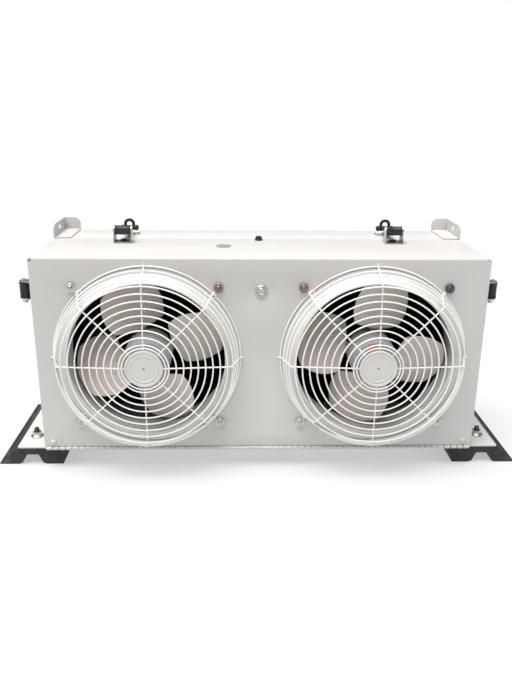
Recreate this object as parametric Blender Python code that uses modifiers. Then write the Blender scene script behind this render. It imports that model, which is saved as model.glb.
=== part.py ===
"""Twin-fan hydraulic oil cooler in a white sheet-metal case.

Metres, +Z up, -Y is the front, the origin is on the ground under the middle of the bounding box.
The fan hood (front panel, cover, two guards, two fans) tilts forward on a piano hinge along the
bottom front edge and is held shut by four rubber draw latches.
"""

import math

import bmesh
import bpy
import numpy as np
from mathutils import Matrix, Vector

# ---------------------------------------------------------------- driving dimensions
GAP = 0.0003  # left between two pieces that touch
SHEET = 0.002  # case, hood and panel metal

BOX_W = 0.860
BOX_D = 0.306
BOX_H = 0.391
GUARD_DEPTH = 0.067  # how far the guards stand in front of the panel
PORT_REACH = 0.020  # how far the oil ports stand behind the case

RAIL_H = 0.035
BASE_T = 0.003
BASE_HALF_W = 0.490
BASE_FRONT = 0.014  # depth at which the base plate and the rails start

FRONT = -(GUARD_DEPTH + BOX_D + PORT_REACH) / 2 + GUARD_DEPTH  # Y of the panel's front face
BACK = FRONT + BOX_D
BASE_TOP = RAIL_H + BASE_T
TOP = BASE_TOP + BOX_H

HINGE_R = 0.0036
HINGE_Z = BASE_TOP + 0.0043
HINGE_PIN_R = 0.0014
HINGE_KNUCKLES = 10
LEAF_T = 0.001
LEAF_W = 0.0155
LEAF_LIFT = 0.0033  # the fixed leaf's underside lies this far under the hinge's axis
FLOOR_Z = BASE_TOP + 0.0024  # underside of the floor pan

HOOD_FRONT = SHEET + GAP + LEAF_T + GAP  # depth of the hood cover's front lip
HOOD_TOP_D = 0.200  # the hood cover's depth along the top
HOOD_SIDE_D = 0.026  # and along the lower part of each side
HOOD_KNEE_Z = 0.245  # height over the base where the side seam turns
SEAM = 0.0005
LIP_W = 0.014

FAN_X = 0.2172
FAN_Z = BASE_TOP + 0.1995
OPENING_R = 0.161
THROAT_R = 0.153
RING_D = 0.048
RING_SHEET = 0.0015
LIP_R = 0.149  # the raised lip round each opening
LIP_OUT = 0.024
COLLAR_R = 0.175

WIRE_R = 0.0017
RING_STEPS = 24
GUARD_RINGS = (0.0737, 0.1195, 0.164)  # radii of the front rings
GUARD_CONE = 0.075  # how much the front falls back, per metre of radius
GUARD_FOOT_R = 0.179
GUARD_EYE_R = 0.193
DISC_R = 0.0358
DISC_T = 0.003
SPOKES = 8

STATOR_R = 0.034
STATOR_L = 0.018
SHAFT_R = 0.005
HUB_R = 0.045
HUB_BACK = 0.052
BLADES = 4
BLADE_ROOT_R = 0.050
BLADE_TIP_R = 0.148
BLADE_T = 0.0016
BLADE_HALF_W = 0.061
BLADE_PITCH = math.radians(22)
BLADE_D = 0.031  # depth of the blades' middle
ARM_W = 0.024
ARM_T = 0.0025
ARM_TIP_R = 0.088
LEFT_FAN_PHASE = math.radians(18)
RIGHT_FAN_PHASE = math.radians(-11)

BOLT_X = 0.463
BOLT_FRONT_D = 0.065
BOLT_BACK_D = 0.241
BOLT_R = 0.005
BOLT_HOLE_R = 0.0056
BOLT_TOP = BASE_TOP + 0.019
HEX_R = 0.0095
NOTCH_TOP = 0.021

CORE_HALF_W = 0.350
CORE_D = (0.224, 0.284)
CORE_LAYERS = 16
FIN_RECESS = 0.0015
TANK_OUT = 0.422
TANK_D = (0.218, 0.289)
TANK_WALL = 0.003
CORE_Z = (FLOOR_Z + SHEET + GAP, TOP - 0.014)
PORT_X = 0.387
PORT_R = 0.020
PORT_BORE_R = 0.012
INLET_Z = TOP - 0.070
OUTLET_Z = BASE_TOP + 0.070

LATCH_TOP_X = 0.278
LATCH_TOP_D = 0.163
LATCH_SIDE_D = 0.052
LATCH_SIDE_Z = BASE_TOP + 0.320
AXIS_LIFT = 0.025  # height of a latch's pin over the sheet it is riveted to
LATCH_W = 0.036
LATCH_BASE_D = 0.032
EAR_T = 0.002
EAR_H = 0.034
LATCH_PIN_R = 0.003
BARREL_R = 0.0097
REACH = 0.092  # from a latch's pin to its cross bar
BAR_LIFT = 0.014
BAR_R = 0.0062
STRAP_W = 0.017
STRAP_T = 0.005
KEEPER_LIP = 0.007
LOOP_R = 0.0095
LOOP_WIRE_R = 0.0028

FASTENER_Z = BASE_TOP + 0.330
FASTENER_R = 0.012
FASTENER_SHANK_R = 0.004

BRACKET_W = 0.036
BRACKET_D = 0.104
BRACKET_H = 0.028
BRACKET_T = 0.0025

ROUND = 20  # sides of a plain round piece


# ---------------------------------------------------------------- scene, collections, materials
def clear_scene():
    for item in list(bpy.data.objects):
        bpy.data.objects.remove(item, do_unlink=True)


def new_collection(name):
    made = bpy.data.collections.new(name)
    bpy.context.scene.collection.children.link(made)
    return made


def material(name, colour, roughness, metallic=0.0):
    made = bpy.data.materials.new(name)
    made.use_nodes = True
    shader = made.node_tree.nodes["Principled BSDF"]
    shader.inputs["Base Color"].default_value = (*colour, 1.0)
    shader.inputs["Roughness"].default_value = roughness
    shader.inputs["Metallic"].default_value = metallic
    return made


def add(name, mesh, finish=None, parent=None, location=(0, 0, 0), rotation=(0, 0, 0)):
    """A named part; its location and rotation are its parent's when it has one."""
    piece = bpy.data.objects.new(name, mesh)
    PARTS.objects.link(piece)
    piece.location = location
    piece.rotation_euler = rotation
    piece.parent = parent
    if finish is not None:
        mesh.materials.clear()
        mesh.materials.append(finish)
    return piece


def cutter(name, mesh, parent=None, location=(0, 0, 0), rotation=(0, 0, 0)):
    piece = bpy.data.objects.new(name, mesh)
    CUTTERS.objects.link(piece)
    piece.location = location
    piece.rotation_euler = rotation
    piece.parent = parent
    piece.hide_render = True
    piece.display_type = "WIRE"
    return piece


def pivot(name, location, rotation=(0, 0, 0), parent=None):
    """An empty on a joint's axis."""
    made = bpy.data.objects.new(name, None)
    CUTTERS.objects.link(made)
    made.location = location
    made.rotation_euler = rotation
    made.parent = parent
    made.hide_render = True
    return made


def boolean(piece, other, operation):
    step = piece.modifiers.new(operation.lower(), "BOOLEAN")
    step.operation = operation
    step.object = other
    step.solver = "EXACT"


# ---------------------------------------------------------------- mesh makers
def mesh_from(name, shape):
    mesh = bpy.data.meshes.new(name)
    shape.to_mesh(mesh)
    shape.free()
    return mesh


def box_mesh(name, low, high):
    shape = bmesh.new()
    bmesh.ops.create_cube(shape, size=1.0)
    low, high = Vector(low), Vector(high)
    size = high - low
    bmesh.ops.scale(shape, verts=shape.verts, vec=size)
    bmesh.ops.translate(shape, verts=shape.verts, vec=(low + high) / 2)
    return mesh_from(name, shape)


def rod_mesh(name, radius, start, end, axis="Y", sides=ROUND):
    """A cylinder about an axis through the origin, from one place along it to the other."""
    turn = {
        "X": Matrix.Rotation(math.pi / 2, 3, "Y"),
        "Y": Matrix.Rotation(-math.pi / 2, 3, "X"),
        "Z": Matrix.Identity(3),
    }[axis]
    shape = bmesh.new()
    bmesh.ops.create_cone(
        shape, cap_ends=True, segments=sides, radius1=radius, radius2=radius, depth=end - start
    )
    bmesh.ops.translate(shape, verts=shape.verts, vec=(0, 0, (start + end) / 2))
    bmesh.ops.rotate(shape, verts=shape.verts, matrix=turn)
    mesh = mesh_from(name, shape)
    smooth(mesh)
    return mesh


def smooth(mesh, angle=40):
    mesh.shade_smooth()
    mesh.set_sharp_from_angle(angle=math.radians(angle))


def joined(name, meshes):
    """Several meshes as one, each still its own body."""
    shape = bmesh.new()
    for mesh in meshes:
        shape.from_mesh(mesh)
        bpy.data.meshes.remove(mesh)
    return mesh_from(name, shape)


def moved(mesh, offset=(0, 0, 0), turn=None):
    if turn is not None:
        mesh.transform(turn.to_4x4())
    mesh.transform(Matrix.Translation(offset))
    return mesh


def baked(curve, name):
    """A curve object's surface as a welded mesh, in the place where the curve stood."""
    bpy.context.view_layer.update()
    graph = bpy.context.evaluated_depsgraph_get()
    mesh = bpy.data.meshes.new_from_object(curve.evaluated_get(graph))
    mesh.name = name
    mesh.transform(curve.matrix_world)
    shape = bmesh.new()
    shape.from_mesh(mesh)
    bmesh.ops.remove_doubles(shape, verts=shape.verts, dist=0.00001)
    bmesh.ops.dissolve_limit(shape, angle_limit=0.001, verts=shape.verts, edges=shape.edges)
    shape.to_mesh(mesh)
    shape.free()
    bpy.data.objects.remove(curve, do_unlink=True)
    return mesh


def plate_mesh(name, outline, thickness, holes=()):
    """A flat plate in XY, centred on Z, from an outline and the outlines of its holes."""
    data = bpy.data.curves.new(name, "CURVE")
    data.dimensions = "2D"
    data.fill_mode = "BOTH"
    data.extrude = thickness / 2
    for points in (outline, *holes):
        spline = data.splines.new("POLY")
        spline.points.add(len(points) - 1)
        for point, (x, y) in zip(spline.points, points):
            point.co = (x, y, 0, 1)
        spline.use_cyclic_u = True
    curve = bpy.data.objects.new(name, data)
    CUTTERS.objects.link(curve)
    return baked(curve, name)


def wire_mesh(name, points, radius, closed=False, resolution=0):
    """A wire through the points; it has four sides at resolution 0 and two more for each step."""
    data = bpy.data.curves.new(name, "CURVE")
    data.dimensions = "3D"
    data.bevel_mode = "ROUND"
    data.bevel_depth = radius
    data.bevel_resolution = resolution
    data.use_fill_caps = not closed
    spline = data.splines.new("POLY")
    spline.points.add(len(points) - 1)
    for point, place in zip(spline.points, points):
        point.co = (*place, 1)
    spline.use_cyclic_u = closed
    curve = bpy.data.objects.new(name, data)
    CUTTERS.objects.link(curve)
    return baked(curve, name)


def circle(radius, steps=ROUND, centre=(0, 0), start=0.0, sweep=2 * math.pi):
    """Points round a circle or, with a sweep, along an arc that has both its ends."""
    count = steps if sweep >= 2 * math.pi else steps + 1
    return [
        (centre[0] + radius * math.cos(start + sweep * i / steps),
         centre[1] + radius * math.sin(start + sweep * i / steps))
        for i in range(count)
    ]


def turned(name, profile, steps, finish, parent, location, closed=True):
    """A piece turned about Y from a profile of (radius, depth), closed when it has a bore."""
    shape = bmesh.new()
    corners = [shape.verts.new((radius, 0, -depth)) for radius, depth in profile]
    following = corners[1:] + corners[:1] if closed else corners[1:]
    for first, second in zip(corners, following):
        shape.edges.new((first, second))
    piece = add(name, mesh_from(name, shape), finish, parent, location, (math.pi / 2, 0, 0))
    screw = piece.modifiers.new("turn", "SCREW")
    screw.axis = "Z"
    screw.steps = steps
    screw.render_steps = steps
    screw.use_merge_vertices = True
    screw.merge_threshold = 0.00001
    return piece


def at(depth):
    """The Y of a depth behind the panel's front face."""
    return FRONT + depth


# ---------------------------------------------------------------- base: plate, rails, bolts
def base():
    bolts = [(side * BOLT_X, at(depth)) for side in (-1, 1) for depth in (BOLT_FRONT_D, BOLT_BACK_D)]
    drill = joined("bolt_holes", [
        moved(rod_mesh("hole", BOLT_HOLE_R, 0.0, 0.1, "Z", 12), (x, y, 0)) for x, y in bolts
    ])
    drill = cutter("bolt_holes", drill)

    plate = box_mesh("base_plate", (-BASE_HALF_W, at(BASE_FRONT), RAIL_H), (BASE_HALF_W, BACK, BASE_TOP))
    plate = add("base_plate", plate, WHITE)
    boolean(plate, drill, "DIFFERENCE")

    for side, name in ((-1, "left_rail"), (1, "right_rail")):
        rail = add(name, rail_mesh(name, side), RUBBER)
        boolean(rail, drill, "DIFFERENCE")

    names = ("left_front", "left_back", "right_front", "right_back")
    for name, (x, y) in zip(names, bolts):
        head = rod_mesh("head", HEX_R, NOTCH_TOP - GAP - 0.0064, NOTCH_TOP - GAP, "Z", 6)
        shank = rod_mesh("shank", BOLT_R, NOTCH_TOP - 0.003, BOLT_TOP, "Z", 12)
        shank = cutter(f"{name}_shank", shank, location=(x, y, 0))
        bolt = add(f"{name}_anchor_bolt", head, ZINC, location=(x, y, 0))
        boolean(bolt, shank, "UNION")

        washer = rod_mesh("washer", 0.013, BASE_TOP + GAP, BASE_TOP + 0.0024, "Z", ROUND)
        hexagon = cutter(f"{name}_hexagon", rod_mesh("hexagon", HEX_R, BASE_TOP + 0.002,
                                                     BASE_TOP + 0.0106, "Z", 6), location=(x, y, 0))
        nut = add(f"{name}_anchor_nut", washer, ZINC, location=(x, y, 0))
        boolean(nut, hexagon, "UNION")
        bore = cutter(f"{name}_bore", rod_mesh("bore", BOLT_R + GAP, RAIL_H, TOP, "Z", 12),
                      location=(x, y, 0))
        boolean(nut, bore, "DIFFERENCE")


def rail_mesh(name, side):
    """A skid rail along Y: ground flange outside, two legs with a notch between, flat top."""
    outline = [
        (0.529, 0.0), (0.529, 0.003), (0.506, 0.004), (0.506, 0.026), (0.492, RAIL_H - GAP),
        (0.386, RAIL_H - GAP), (0.400, 0.0), (0.433, 0.0), (0.441, 0.003),
        (0.4495, NOTCH_TOP), (0.4735, NOTCH_TOP), (0.483, 0.003), (0.489, 0.0),
    ]
    length = BOX_D - BASE_FRONT
    rail = plate_mesh(name, [(side * x, z) for x, z in outline], length)
    upright = Matrix.Rotation(math.pi / 2, 3, "X")
    return moved(rail, (0, at(BASE_FRONT) + length / 2, 0), upright)


# ---------------------------------------------------------------- case: floor, rear case, hood cover
def hood_profile(grow):
    """The hood's share of the case in side view, as (depth, height over the base)."""
    return [
        (-0.05, -0.02), (HOOD_SIDE_D + grow, -0.02), (HOOD_SIDE_D + grow, HOOD_KNEE_Z - grow),
        (HOOD_TOP_D + grow, BOX_H - 0.004 - grow), (HOOD_TOP_D + grow, BOX_H + 0.02),
        (-0.05, BOX_H + 0.02),
    ]


def hood_prism(name, grow):
    prism = plate_mesh(name, hood_profile(grow), BOX_W + 0.1)
    turn = Matrix(((0, 0, 1), (1, 0, 0), (0, 1, 0)))
    return cutter(name, moved(prism, (0, FRONT, BASE_TOP), turn))


def open_shell(name, low, high, missing, finish, thickness=SHEET, lip=None):
    """A folded sheet: a box without the faces whose outward directions are missing."""
    mesh = box_mesh(name, low, high)
    shape = bmesh.new()
    shape.from_mesh(mesh)
    shape.faces.ensure_lookup_table()
    gone = [f for f in shape.faces if any(f.normal.dot(Vector(way)) > 0.9 for way in missing)]
    bmesh.ops.delete(shape, geom=gone, context="FACES")
    if lip is not None:
        front = [f for f in shape.faces if f.normal.dot(Vector((0, -1, 0))) > 0.9]
        bmesh.ops.inset_region(shape, faces=front, thickness=lip, use_boundary=True)
        bmesh.ops.delete(shape, geom=front, context="FACES")
    shape.to_mesh(mesh)
    shape.free()
    piece = add(name, mesh, finish)
    wall = piece.modifiers.new("sheet", "SOLIDIFY")
    wall.thickness = thickness
    wall.offset = -1
    wall.use_even_offset = True
    return piece


def case():
    half = BOX_W / 2
    inner = half - SHEET - GAP
    open_shell("floor_pan", (-inner, at(0.0065), FLOOR_Z), (inner, BACK - SHEET - GAP, FLOOR_Z + 0.014),
               ((0, 0, 1), (0, -1, 0), (0, 1, 0)), WHITE)

    low = FLOOR_Z - SHEET + 0.0006
    rear = open_shell("rear_case", (-half, at(0.010), low), (half, BACK, TOP),
                      ((0, 0, -1), (0, -1, 0), (0, 1, 0)), WHITE)
    boolean(rear, hood_prism("hood_outside", SEAM), "DIFFERENCE")

    hood = open_shell("hood_cover", (-half, at(HOOD_FRONT), FLOOR_Z), (half, BACK, TOP),
                      ((0, 0, -1), (0, 1, 0)), WHITE, lip=LIP_W)
    boolean(hood, hood_prism("hood_inside", 0.0), "INTERSECT")

    frame_gap = 0.0005
    outer = inner - frame_gap
    plate = plate_mesh("rear_frame", rectangle(-outer, outer, FLOOR_Z + 0.0025, TOP - SHEET - frame_gap),
                       SHEET, holes=rear_frame_holes())
    upright = Matrix.Rotation(math.pi / 2, 3, "X")
    add("rear_frame", moved(plate, (0, BACK - SHEET / 2, 0), upright), WHITE)


def rectangle(left, right, low, high):
    return [(left, low), (right, low), (right, high), (left, high)]


def rear_frame_holes():
    window = rectangle(-CORE_HALF_W + 0.008, CORE_HALF_W - 0.008, CORE_Z[0] + 0.018, CORE_Z[1] - 0.010)
    ports = [circle(PORT_R + 0.001, ROUND, (side * PORT_X, height))
             for side, height in ((-1, INLET_Z), (1, OUTLET_Z))]
    return [window, *ports]


def corner_brackets():
    for side, name in ((-1, "left_corner_bracket"), (1, "right_corner_bracket")):
        outer = side * BOX_W / 2
        inner = outer - side * BRACKET_W
        low = (min(outer, inner), BACK - BRACKET_D, TOP + GAP)
        high = (max(outer, inner), BACK, TOP + GAP + BRACKET_H)
        bracket = open_shell(name, low, high, ((0, 0, 1), (0, -1, 0), (-side, 0, 0)), WHITE, BRACKET_T)
        slot = plate_mesh("slot", rectangle(-0.010, 0.010, -0.004, 0.004), 0.02)
        turn = Matrix(((0, 0, 1), (1, 0, 0), (0, 1, 0)))
        place = (outer, BACK - BRACKET_D / 2, TOP + GAP + 0.016)
        boolean(bracket, cutter(f"{name}_slot", moved(slot, place, turn)), "DIFFERENCE")


# ---------------------------------------------------------------- oil side: core, tanks, ports
def oil_cooler():
    core = []
    layer = (CORE_Z[1] - CORE_Z[0]) / CORE_LAYERS
    front, back = CORE_D
    for i in range(CORE_LAYERS):
        low = CORE_Z[0] + i * layer
        core += [(front, low), (front, low + 0.3 * layer),
                 (front + FIN_RECESS, low + 0.3 * layer), (front + FIN_RECESS, low + layer)]
    core += [(front, CORE_Z[1]), (back, CORE_Z[1])]
    core += [(back - (depth - front), height) for depth, height in reversed(core[1:-2])]
    core += [(back, CORE_Z[0])]
    turn = Matrix(((0, 0, 1), (1, 0, 0), (0, 1, 0)))
    mesh = plate_mesh("cooler_core", core, 2 * CORE_HALF_W)
    add("cooler_core", moved(mesh, (0, FRONT, 0), turn), CORE_PAINT)

    for side, name, height in ((-1, "left_tank", INLET_Z), (1, "right_tank", OUTLET_Z)):
        inner = side * (CORE_HALF_W + GAP)
        outer = side * TANK_OUT
        low = Vector((min(inner, outer), at(TANK_D[0]), CORE_Z[0]))
        high = Vector((max(inner, outer), at(TANK_D[1]), CORE_Z[1]))
        wall = Vector((TANK_WALL,) * 3)
        tank = add(name, box_mesh(name, low, high), CORE_PAINT)
        boolean(tank, cutter(f"{name}_inside", box_mesh("inside", low + wall, high - wall)), "DIFFERENCE")
        hole = moved(rod_mesh("hole", PORT_R - 0.004, -0.02, 0.02), (side * PORT_X, at(TANK_D[1]), height))
        boolean(tank, cutter(f"{name}_hole", hole), "DIFFERENCE")

    for side, name, height in ((-1, "inlet_port", INLET_Z), (1, "outlet_port", OUTLET_Z)):
        start = TANK_D[1] + GAP
        end = BOX_D + PORT_REACH
        profile = [(PORT_BORE_R, start), (PORT_R, start), (PORT_R, end - 0.0015),
                   (PORT_R - 0.0015, end), (PORT_BORE_R + 0.001, end), (PORT_BORE_R, end - 0.001)]
        turned(name, profile, ROUND, ALUMINIUM, None, (side * PORT_X, FRONT, height))


# ---------------------------------------------------------------- piano hinge
def hinge_leaf(name, parent, location, knuckle_starts, pitch, turn, offset):
    """A strip whose teeth reach into its own knuckles; flat in XY, then turned into its place."""
    play = 0.0002
    half = BOX_W / 2 - 0.002
    clear = HINGE_R + 0.0005
    strip = moved(box_mesh(name, (-half, clear, 0), (half, LEAF_W, LEAF_T)), offset, turn)
    leaf = add(name, strip, WHITE, parent, location)
    teeth = [box_mesh("tooth", (x + 2 * play, 0.0001, 0.0001), (x + pitch - 2 * play, clear + 0.002,
                                                                LEAF_T - 0.0001))
             for x in knuckle_starts]
    teeth = moved(joined("teeth", teeth), offset, turn)
    boolean(leaf, cutter(f"{name}_teeth", teeth, parent, location), "UNION")
    knuckles = joined("knuckles", [
        rod_mesh("knuckle", HINGE_R, x + play, x + pitch - play, "X", 12) for x in knuckle_starts
    ])
    boolean(leaf, cutter(f"{name}_knuckles", knuckles, parent, location), "UNION")
    bore = rod_mesh("bore", HINGE_PIN_R + GAP, -BOX_W, BOX_W, "X", 12)
    boolean(leaf, cutter(f"{name}_bore", bore, parent, location), "DIFFERENCE")


def piano_hinge(hood):
    pitch = (BOX_W - 0.004) / HINGE_KNUCKLES
    starts = [-(BOX_W - 0.004) / 2 + i * pitch for i in range(HINGE_KNUCKLES)]
    axis = (0, FRONT, HINGE_Z)
    upright = Matrix.Rotation(math.pi / 2, 3, "X")
    hinge_leaf("hinge_leaf_fixed", None, axis, starts[0::2], pitch, None, (0, 0, -LEAF_LIFT))
    hinge_leaf("hinge_leaf_moving", hood, (0, 0, 0), starts[1::2], pitch, upright,
               (0, SHEET + GAP + LEAF_T, 0))
    pin = rod_mesh("hinge_pin", HINGE_PIN_R, -BOX_W / 2 + 0.001, BOX_W / 2 - 0.001, "X", 10)
    add("hinge_pin", pin, STEEL, location=axis)


# ---------------------------------------------------------------- hood: front panel, rings, guards
# The pieces of the hood are placed from the middle of the hinge's axis.
def front_panel(hood):
    half = BOX_W / 2
    low = HINGE_Z + HINGE_R + 0.0006
    holes = [circle(OPENING_R, 40, (side * FAN_X, FAN_Z)) for side in (-1, 1)]
    holes.append(circle(FASTENER_SHANK_R + 0.0008, 12, (0, FASTENER_Z)))
    plate = plate_mesh("front_panel", rectangle(-half, half, low, TOP), SHEET, holes)
    upright = Matrix.Rotation(math.pi / 2, 3, "X")
    add("front_panel", moved(plate, (0, SHEET / 2, -HINGE_Z), upright), WHITE, hood)


def fan_ring(hood, name, x):
    """A collar on the panel that rises to a lip and turns back into the throat the fan runs in."""
    face = -GAP - RING_SHEET
    outside = THROAT_R + RING_SHEET
    profile = [
        (COLLAR_R, face), (0.1655, face), (0.1600, -0.0085), (0.1545, -0.0190), (0.1510, -LIP_OUT),
        (LIP_R, -0.0233), (LIP_R, -0.0175), (THROAT_R, -0.0020), (THROAT_R, RING_D), (outside, RING_D),
        (outside, -0.0023), (0.1505, -0.0180), (0.1532, -0.0182), (0.1587, -0.0078), (0.1648, -GAP),
        (COLLAR_R, -GAP),
    ]
    turned(name, profile[::-1], 40, WHITE, hood, (x, 0, FAN_Z - HINGE_Z))


def guard_face(radius):
    """Depth of the guard's coned front at a radius."""
    return -GUARD_DEPTH + WIRE_R + GUARD_CONE * (radius - DISC_R)


def guard(hood, name, x):
    """Concentric rings on eight bent spokes round a plate that carries the motor."""
    corner, foot = GUARD_RINGS[-1], -WIRE_R - GAP
    level = {radius: guard_face(radius) for radius in GUARD_RINGS}
    level[(corner + GUARD_FOOT_R) / 2] = (guard_face(corner) + foot) / 2
    level[GUARD_FOOT_R] = foot
    rings = [
        wire_mesh("ring", [(u, depth, v) for u, v in circle(radius, RING_STEPS)], WIRE_R, closed=True)
        for radius, depth in level.items()
    ]
    disc = rod_mesh("disc", DISC_R, -GUARD_DEPTH, -GUARD_DEPTH + DISC_T, "Y", ROUND)
    place = (x, 0, FAN_Z - HINGE_Z)
    piece = add(name, joined(name, [*rings, disc]), WHITE, hood, place)

    spokes = []
    behind = WIRE_R * 0.9
    start = DISC_R - 0.006
    for i in range(SPOKES):
        angle = 2 * math.pi * i / SPOKES
        end = GUARD_EYE_R if i % 2 else GUARD_FOOT_R + 0.001
        route = [(start, -GUARD_DEPTH + WIRE_R), (corner - 0.001, guard_face(corner) + behind),
                 (GUARD_FOOT_R - 0.002, foot - 0.0004), (end, foot)]
        points = [(r * math.cos(angle), depth, r * math.sin(angle)) for r, depth in route]
        spokes.append(wire_mesh("spoke", points, WIRE_R))
    boolean(piece, cutter(f"{name}_spokes", joined(f"{name}_spokes", spokes), hood, place), "UNION")


def motor(hood, name, x):
    """The fixed half of an outer-rotor motor: a flange on the guard's plate and a stub shaft."""
    start = -GUARD_DEPTH + 2 * WIRE_R + GAP
    end = start + STATOR_L
    profile = [(0.0, start), (STATOR_R, start), (STATOR_R, end), (SHAFT_R, end), (SHAFT_R, HUB_BACK - 0.008),
               (0.0, HUB_BACK - 0.008)]
    turned(name, profile, ROUND, DARK_STEEL, hood, (x, 0, FAN_Z - HINGE_Z), closed=False)
    return end


# ---------------------------------------------------------------- fans
def fan(hood, side, x, stator_end, phase):
    axis = pivot(f"{side}_fan_axis", (x, 0, FAN_Z - HINGE_Z), parent=hood)
    start = stator_end + 0.0006
    hub = add(f"{side}_fan_hub", rod_mesh("hub", HUB_R, start, HUB_BACK), DARK_STEEL, axis)
    arms = joined("arms", [in_blade_place(arm_mesh(), phase, i) for i in range(BLADES)])
    boolean(hub, cutter(f"{side}_arms", arms, axis), "UNION")
    bore = rod_mesh("bore", SHAFT_R + 0.0006, start - 0.01, HUB_BACK - 0.006, "Y", ROUND)
    boolean(hub, cutter(f"{side}_hub_bore", bore, axis), "DIFFERENCE")
    for i in range(BLADES):
        blade = plate_mesh("blade", blade_outline(), BLADE_T)
        add(f"{side}_fan_blade_{i + 1}", in_blade_place(blade, phase, i), BLADE, axis)


def in_blade_place(mesh, phase, index):
    """From a blade's own plane (span along +X, thickness along Z) to its place on the hub."""
    face_front = Matrix.Rotation(math.pi / 2, 3, "X")
    pitch = Matrix.Rotation(BLADE_PITCH, 3, "X")
    spin = Matrix.Rotation(-(phase + 2 * math.pi * index / BLADES), 3, "Y")
    moved(mesh, (0, BLADE_D, 0), face_front @ pitch)
    return moved(mesh, turn=spin)


def arm_mesh():
    """A flat spider arm, just behind the plane of its blade."""
    arm = box_mesh("arm", (HUB_R - 0.012, -ARM_W / 2, -ARM_T), (ARM_TIP_R, ARM_W / 2, 0))
    return moved(arm, (0, 0, -BLADE_T / 2 - GAP))


def blade_outline():
    """A broad square-shouldered paddle with round corners, whose tip follows the ring."""
    points = []
    for i in range(28):
        turn = 2 * math.pi * i / 28
        across = BLADE_HALF_W * math.copysign(abs(math.sin(turn)) ** 0.55, math.sin(turn))
        along = math.copysign(abs(math.cos(turn)) ** 0.55, math.cos(turn))
        tip = math.sqrt(BLADE_TIP_R ** 2 - across ** 2)
        points.append((BLADE_ROOT_R + (tip - BLADE_ROOT_R) * (along + 1) / 2, across))
    return points


# ---------------------------------------------------------------- latches
def latch(hood, name, location, rotation, outboard):
    """A rubber draw latch: X is the pin's axis, +Y runs back over the seam, Z leaves the sheet."""
    anchor = pivot(f"{name}_place", location, rotation, hood)
    axis = pivot(f"{name}_axis", (0, 0, AXIS_LIFT), parent=anchor)
    half = LATCH_W / 2

    low = (-half, -LATCH_BASE_D / 2, GAP)
    high = (half, LATCH_BASE_D / 2, EAR_H + GAP)
    bracket = open_shell(f"{name}_bracket", low, high, ((0, 0, 1), (0, -1, 0), (0, 1, 0)), ZINC, EAR_T)
    bracket.parent = anchor
    boolean(bracket, cutter(f"{name}_ear", ear_prism(), anchor), "INTERSECT")
    hole = rod_mesh("hole", LATCH_PIN_R + GAP, -half - 0.01, half + 0.01, "X", 12)
    boolean(bracket, cutter(f"{name}_ear_holes", hole, axis), "DIFFERENCE")

    ends = sorted((-outboard * (half + 0.002), outboard * (half + 0.007)))
    add(f"{name}_pin", rod_mesh("pin", LATCH_PIN_R, *ends, "X", 12), ZINC, axis)

    strap = add(f"{name}_strap", strap_arm(), RUBBER, axis)
    inside = half - EAR_T - 0.0006
    drop = BAR_LIFT - AXIS_LIFT
    rounds = joined("rounds", [
        rod_mesh("barrel", BARREL_R, -inside, inside, "X", 16),
        moved(rod_mesh("bar", BAR_R, -0.020, 0.020, "X", 12), (0, REACH, drop)),
        pull_loop(drop),
    ])
    boolean(strap, cutter(f"{name}_rounds", rounds, axis), "UNION")
    bore = rod_mesh("bore", LATCH_PIN_R + GAP, -half, half, "X", 12)
    boolean(strap, cutter(f"{name}_barrel_bore", bore, axis), "DIFFERENCE")


def ear_prism():
    """A latch bracket's side view: a full base that narrows to a round top about the pin."""
    top_r = EAR_H + GAP - AXIS_LIFT
    outline = [(-LATCH_BASE_D / 2 - 0.001, -0.001), (LATCH_BASE_D / 2 + 0.001, -0.001),
               (LATCH_BASE_D / 2 + 0.001, 0.004)]
    outline += circle(top_r, 6, (0, AXIS_LIFT), math.radians(-10), math.radians(200))
    outline += [(-LATCH_BASE_D / 2 - 0.001, 0.004)]
    turn = Matrix(((0, 0, 1), (1, 0, 0), (0, 1, 0)))
    return moved(plate_mesh("ear", outline, LATCH_W + 0.002), turn=turn)


def strap_arm():
    """The flat rubber strap from the barrel to the cross bar."""
    drop = BAR_LIFT - AXIS_LIFT
    slope = math.atan2(drop, REACH)
    arm = box_mesh("arm", (-STRAP_W / 2, 0.006, -STRAP_T / 2),
                   (STRAP_W / 2, math.hypot(REACH, drop), STRAP_T / 2))
    return moved(arm, turn=Matrix.Rotation(slope, 3, "X"))


def pull_loop(drop):
    """The finger loop that stands up behind the cross bar."""
    arch = [(-LOOP_R, -0.002), *circle(LOOP_R, 8, (0, 0.008), math.pi, -math.pi), (LOOP_R, -0.002)]
    points = [(x, REACH + 0.0005, drop + z) for x, z in arch]
    return wire_mesh("loop", points, LOOP_WIRE_R, resolution=1)


def keeper(name, location, rotation):
    """A low angle that the strap's cross bar lies behind, riveted to the rear case."""
    outline = [(-0.010, GAP), (0.014, GAP), (0.014, 0.002), (-0.008, 0.002), (-0.008, KEEPER_LIP),
               (-0.010, KEEPER_LIP)]
    turn = Matrix(((0, 0, 1), (1, 0, 0), (0, 1, 0)))
    mesh = moved(plate_mesh(name, outline, 0.040), turn=turn)
    add(name, mesh, ZINC, None, location, rotation)


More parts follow.
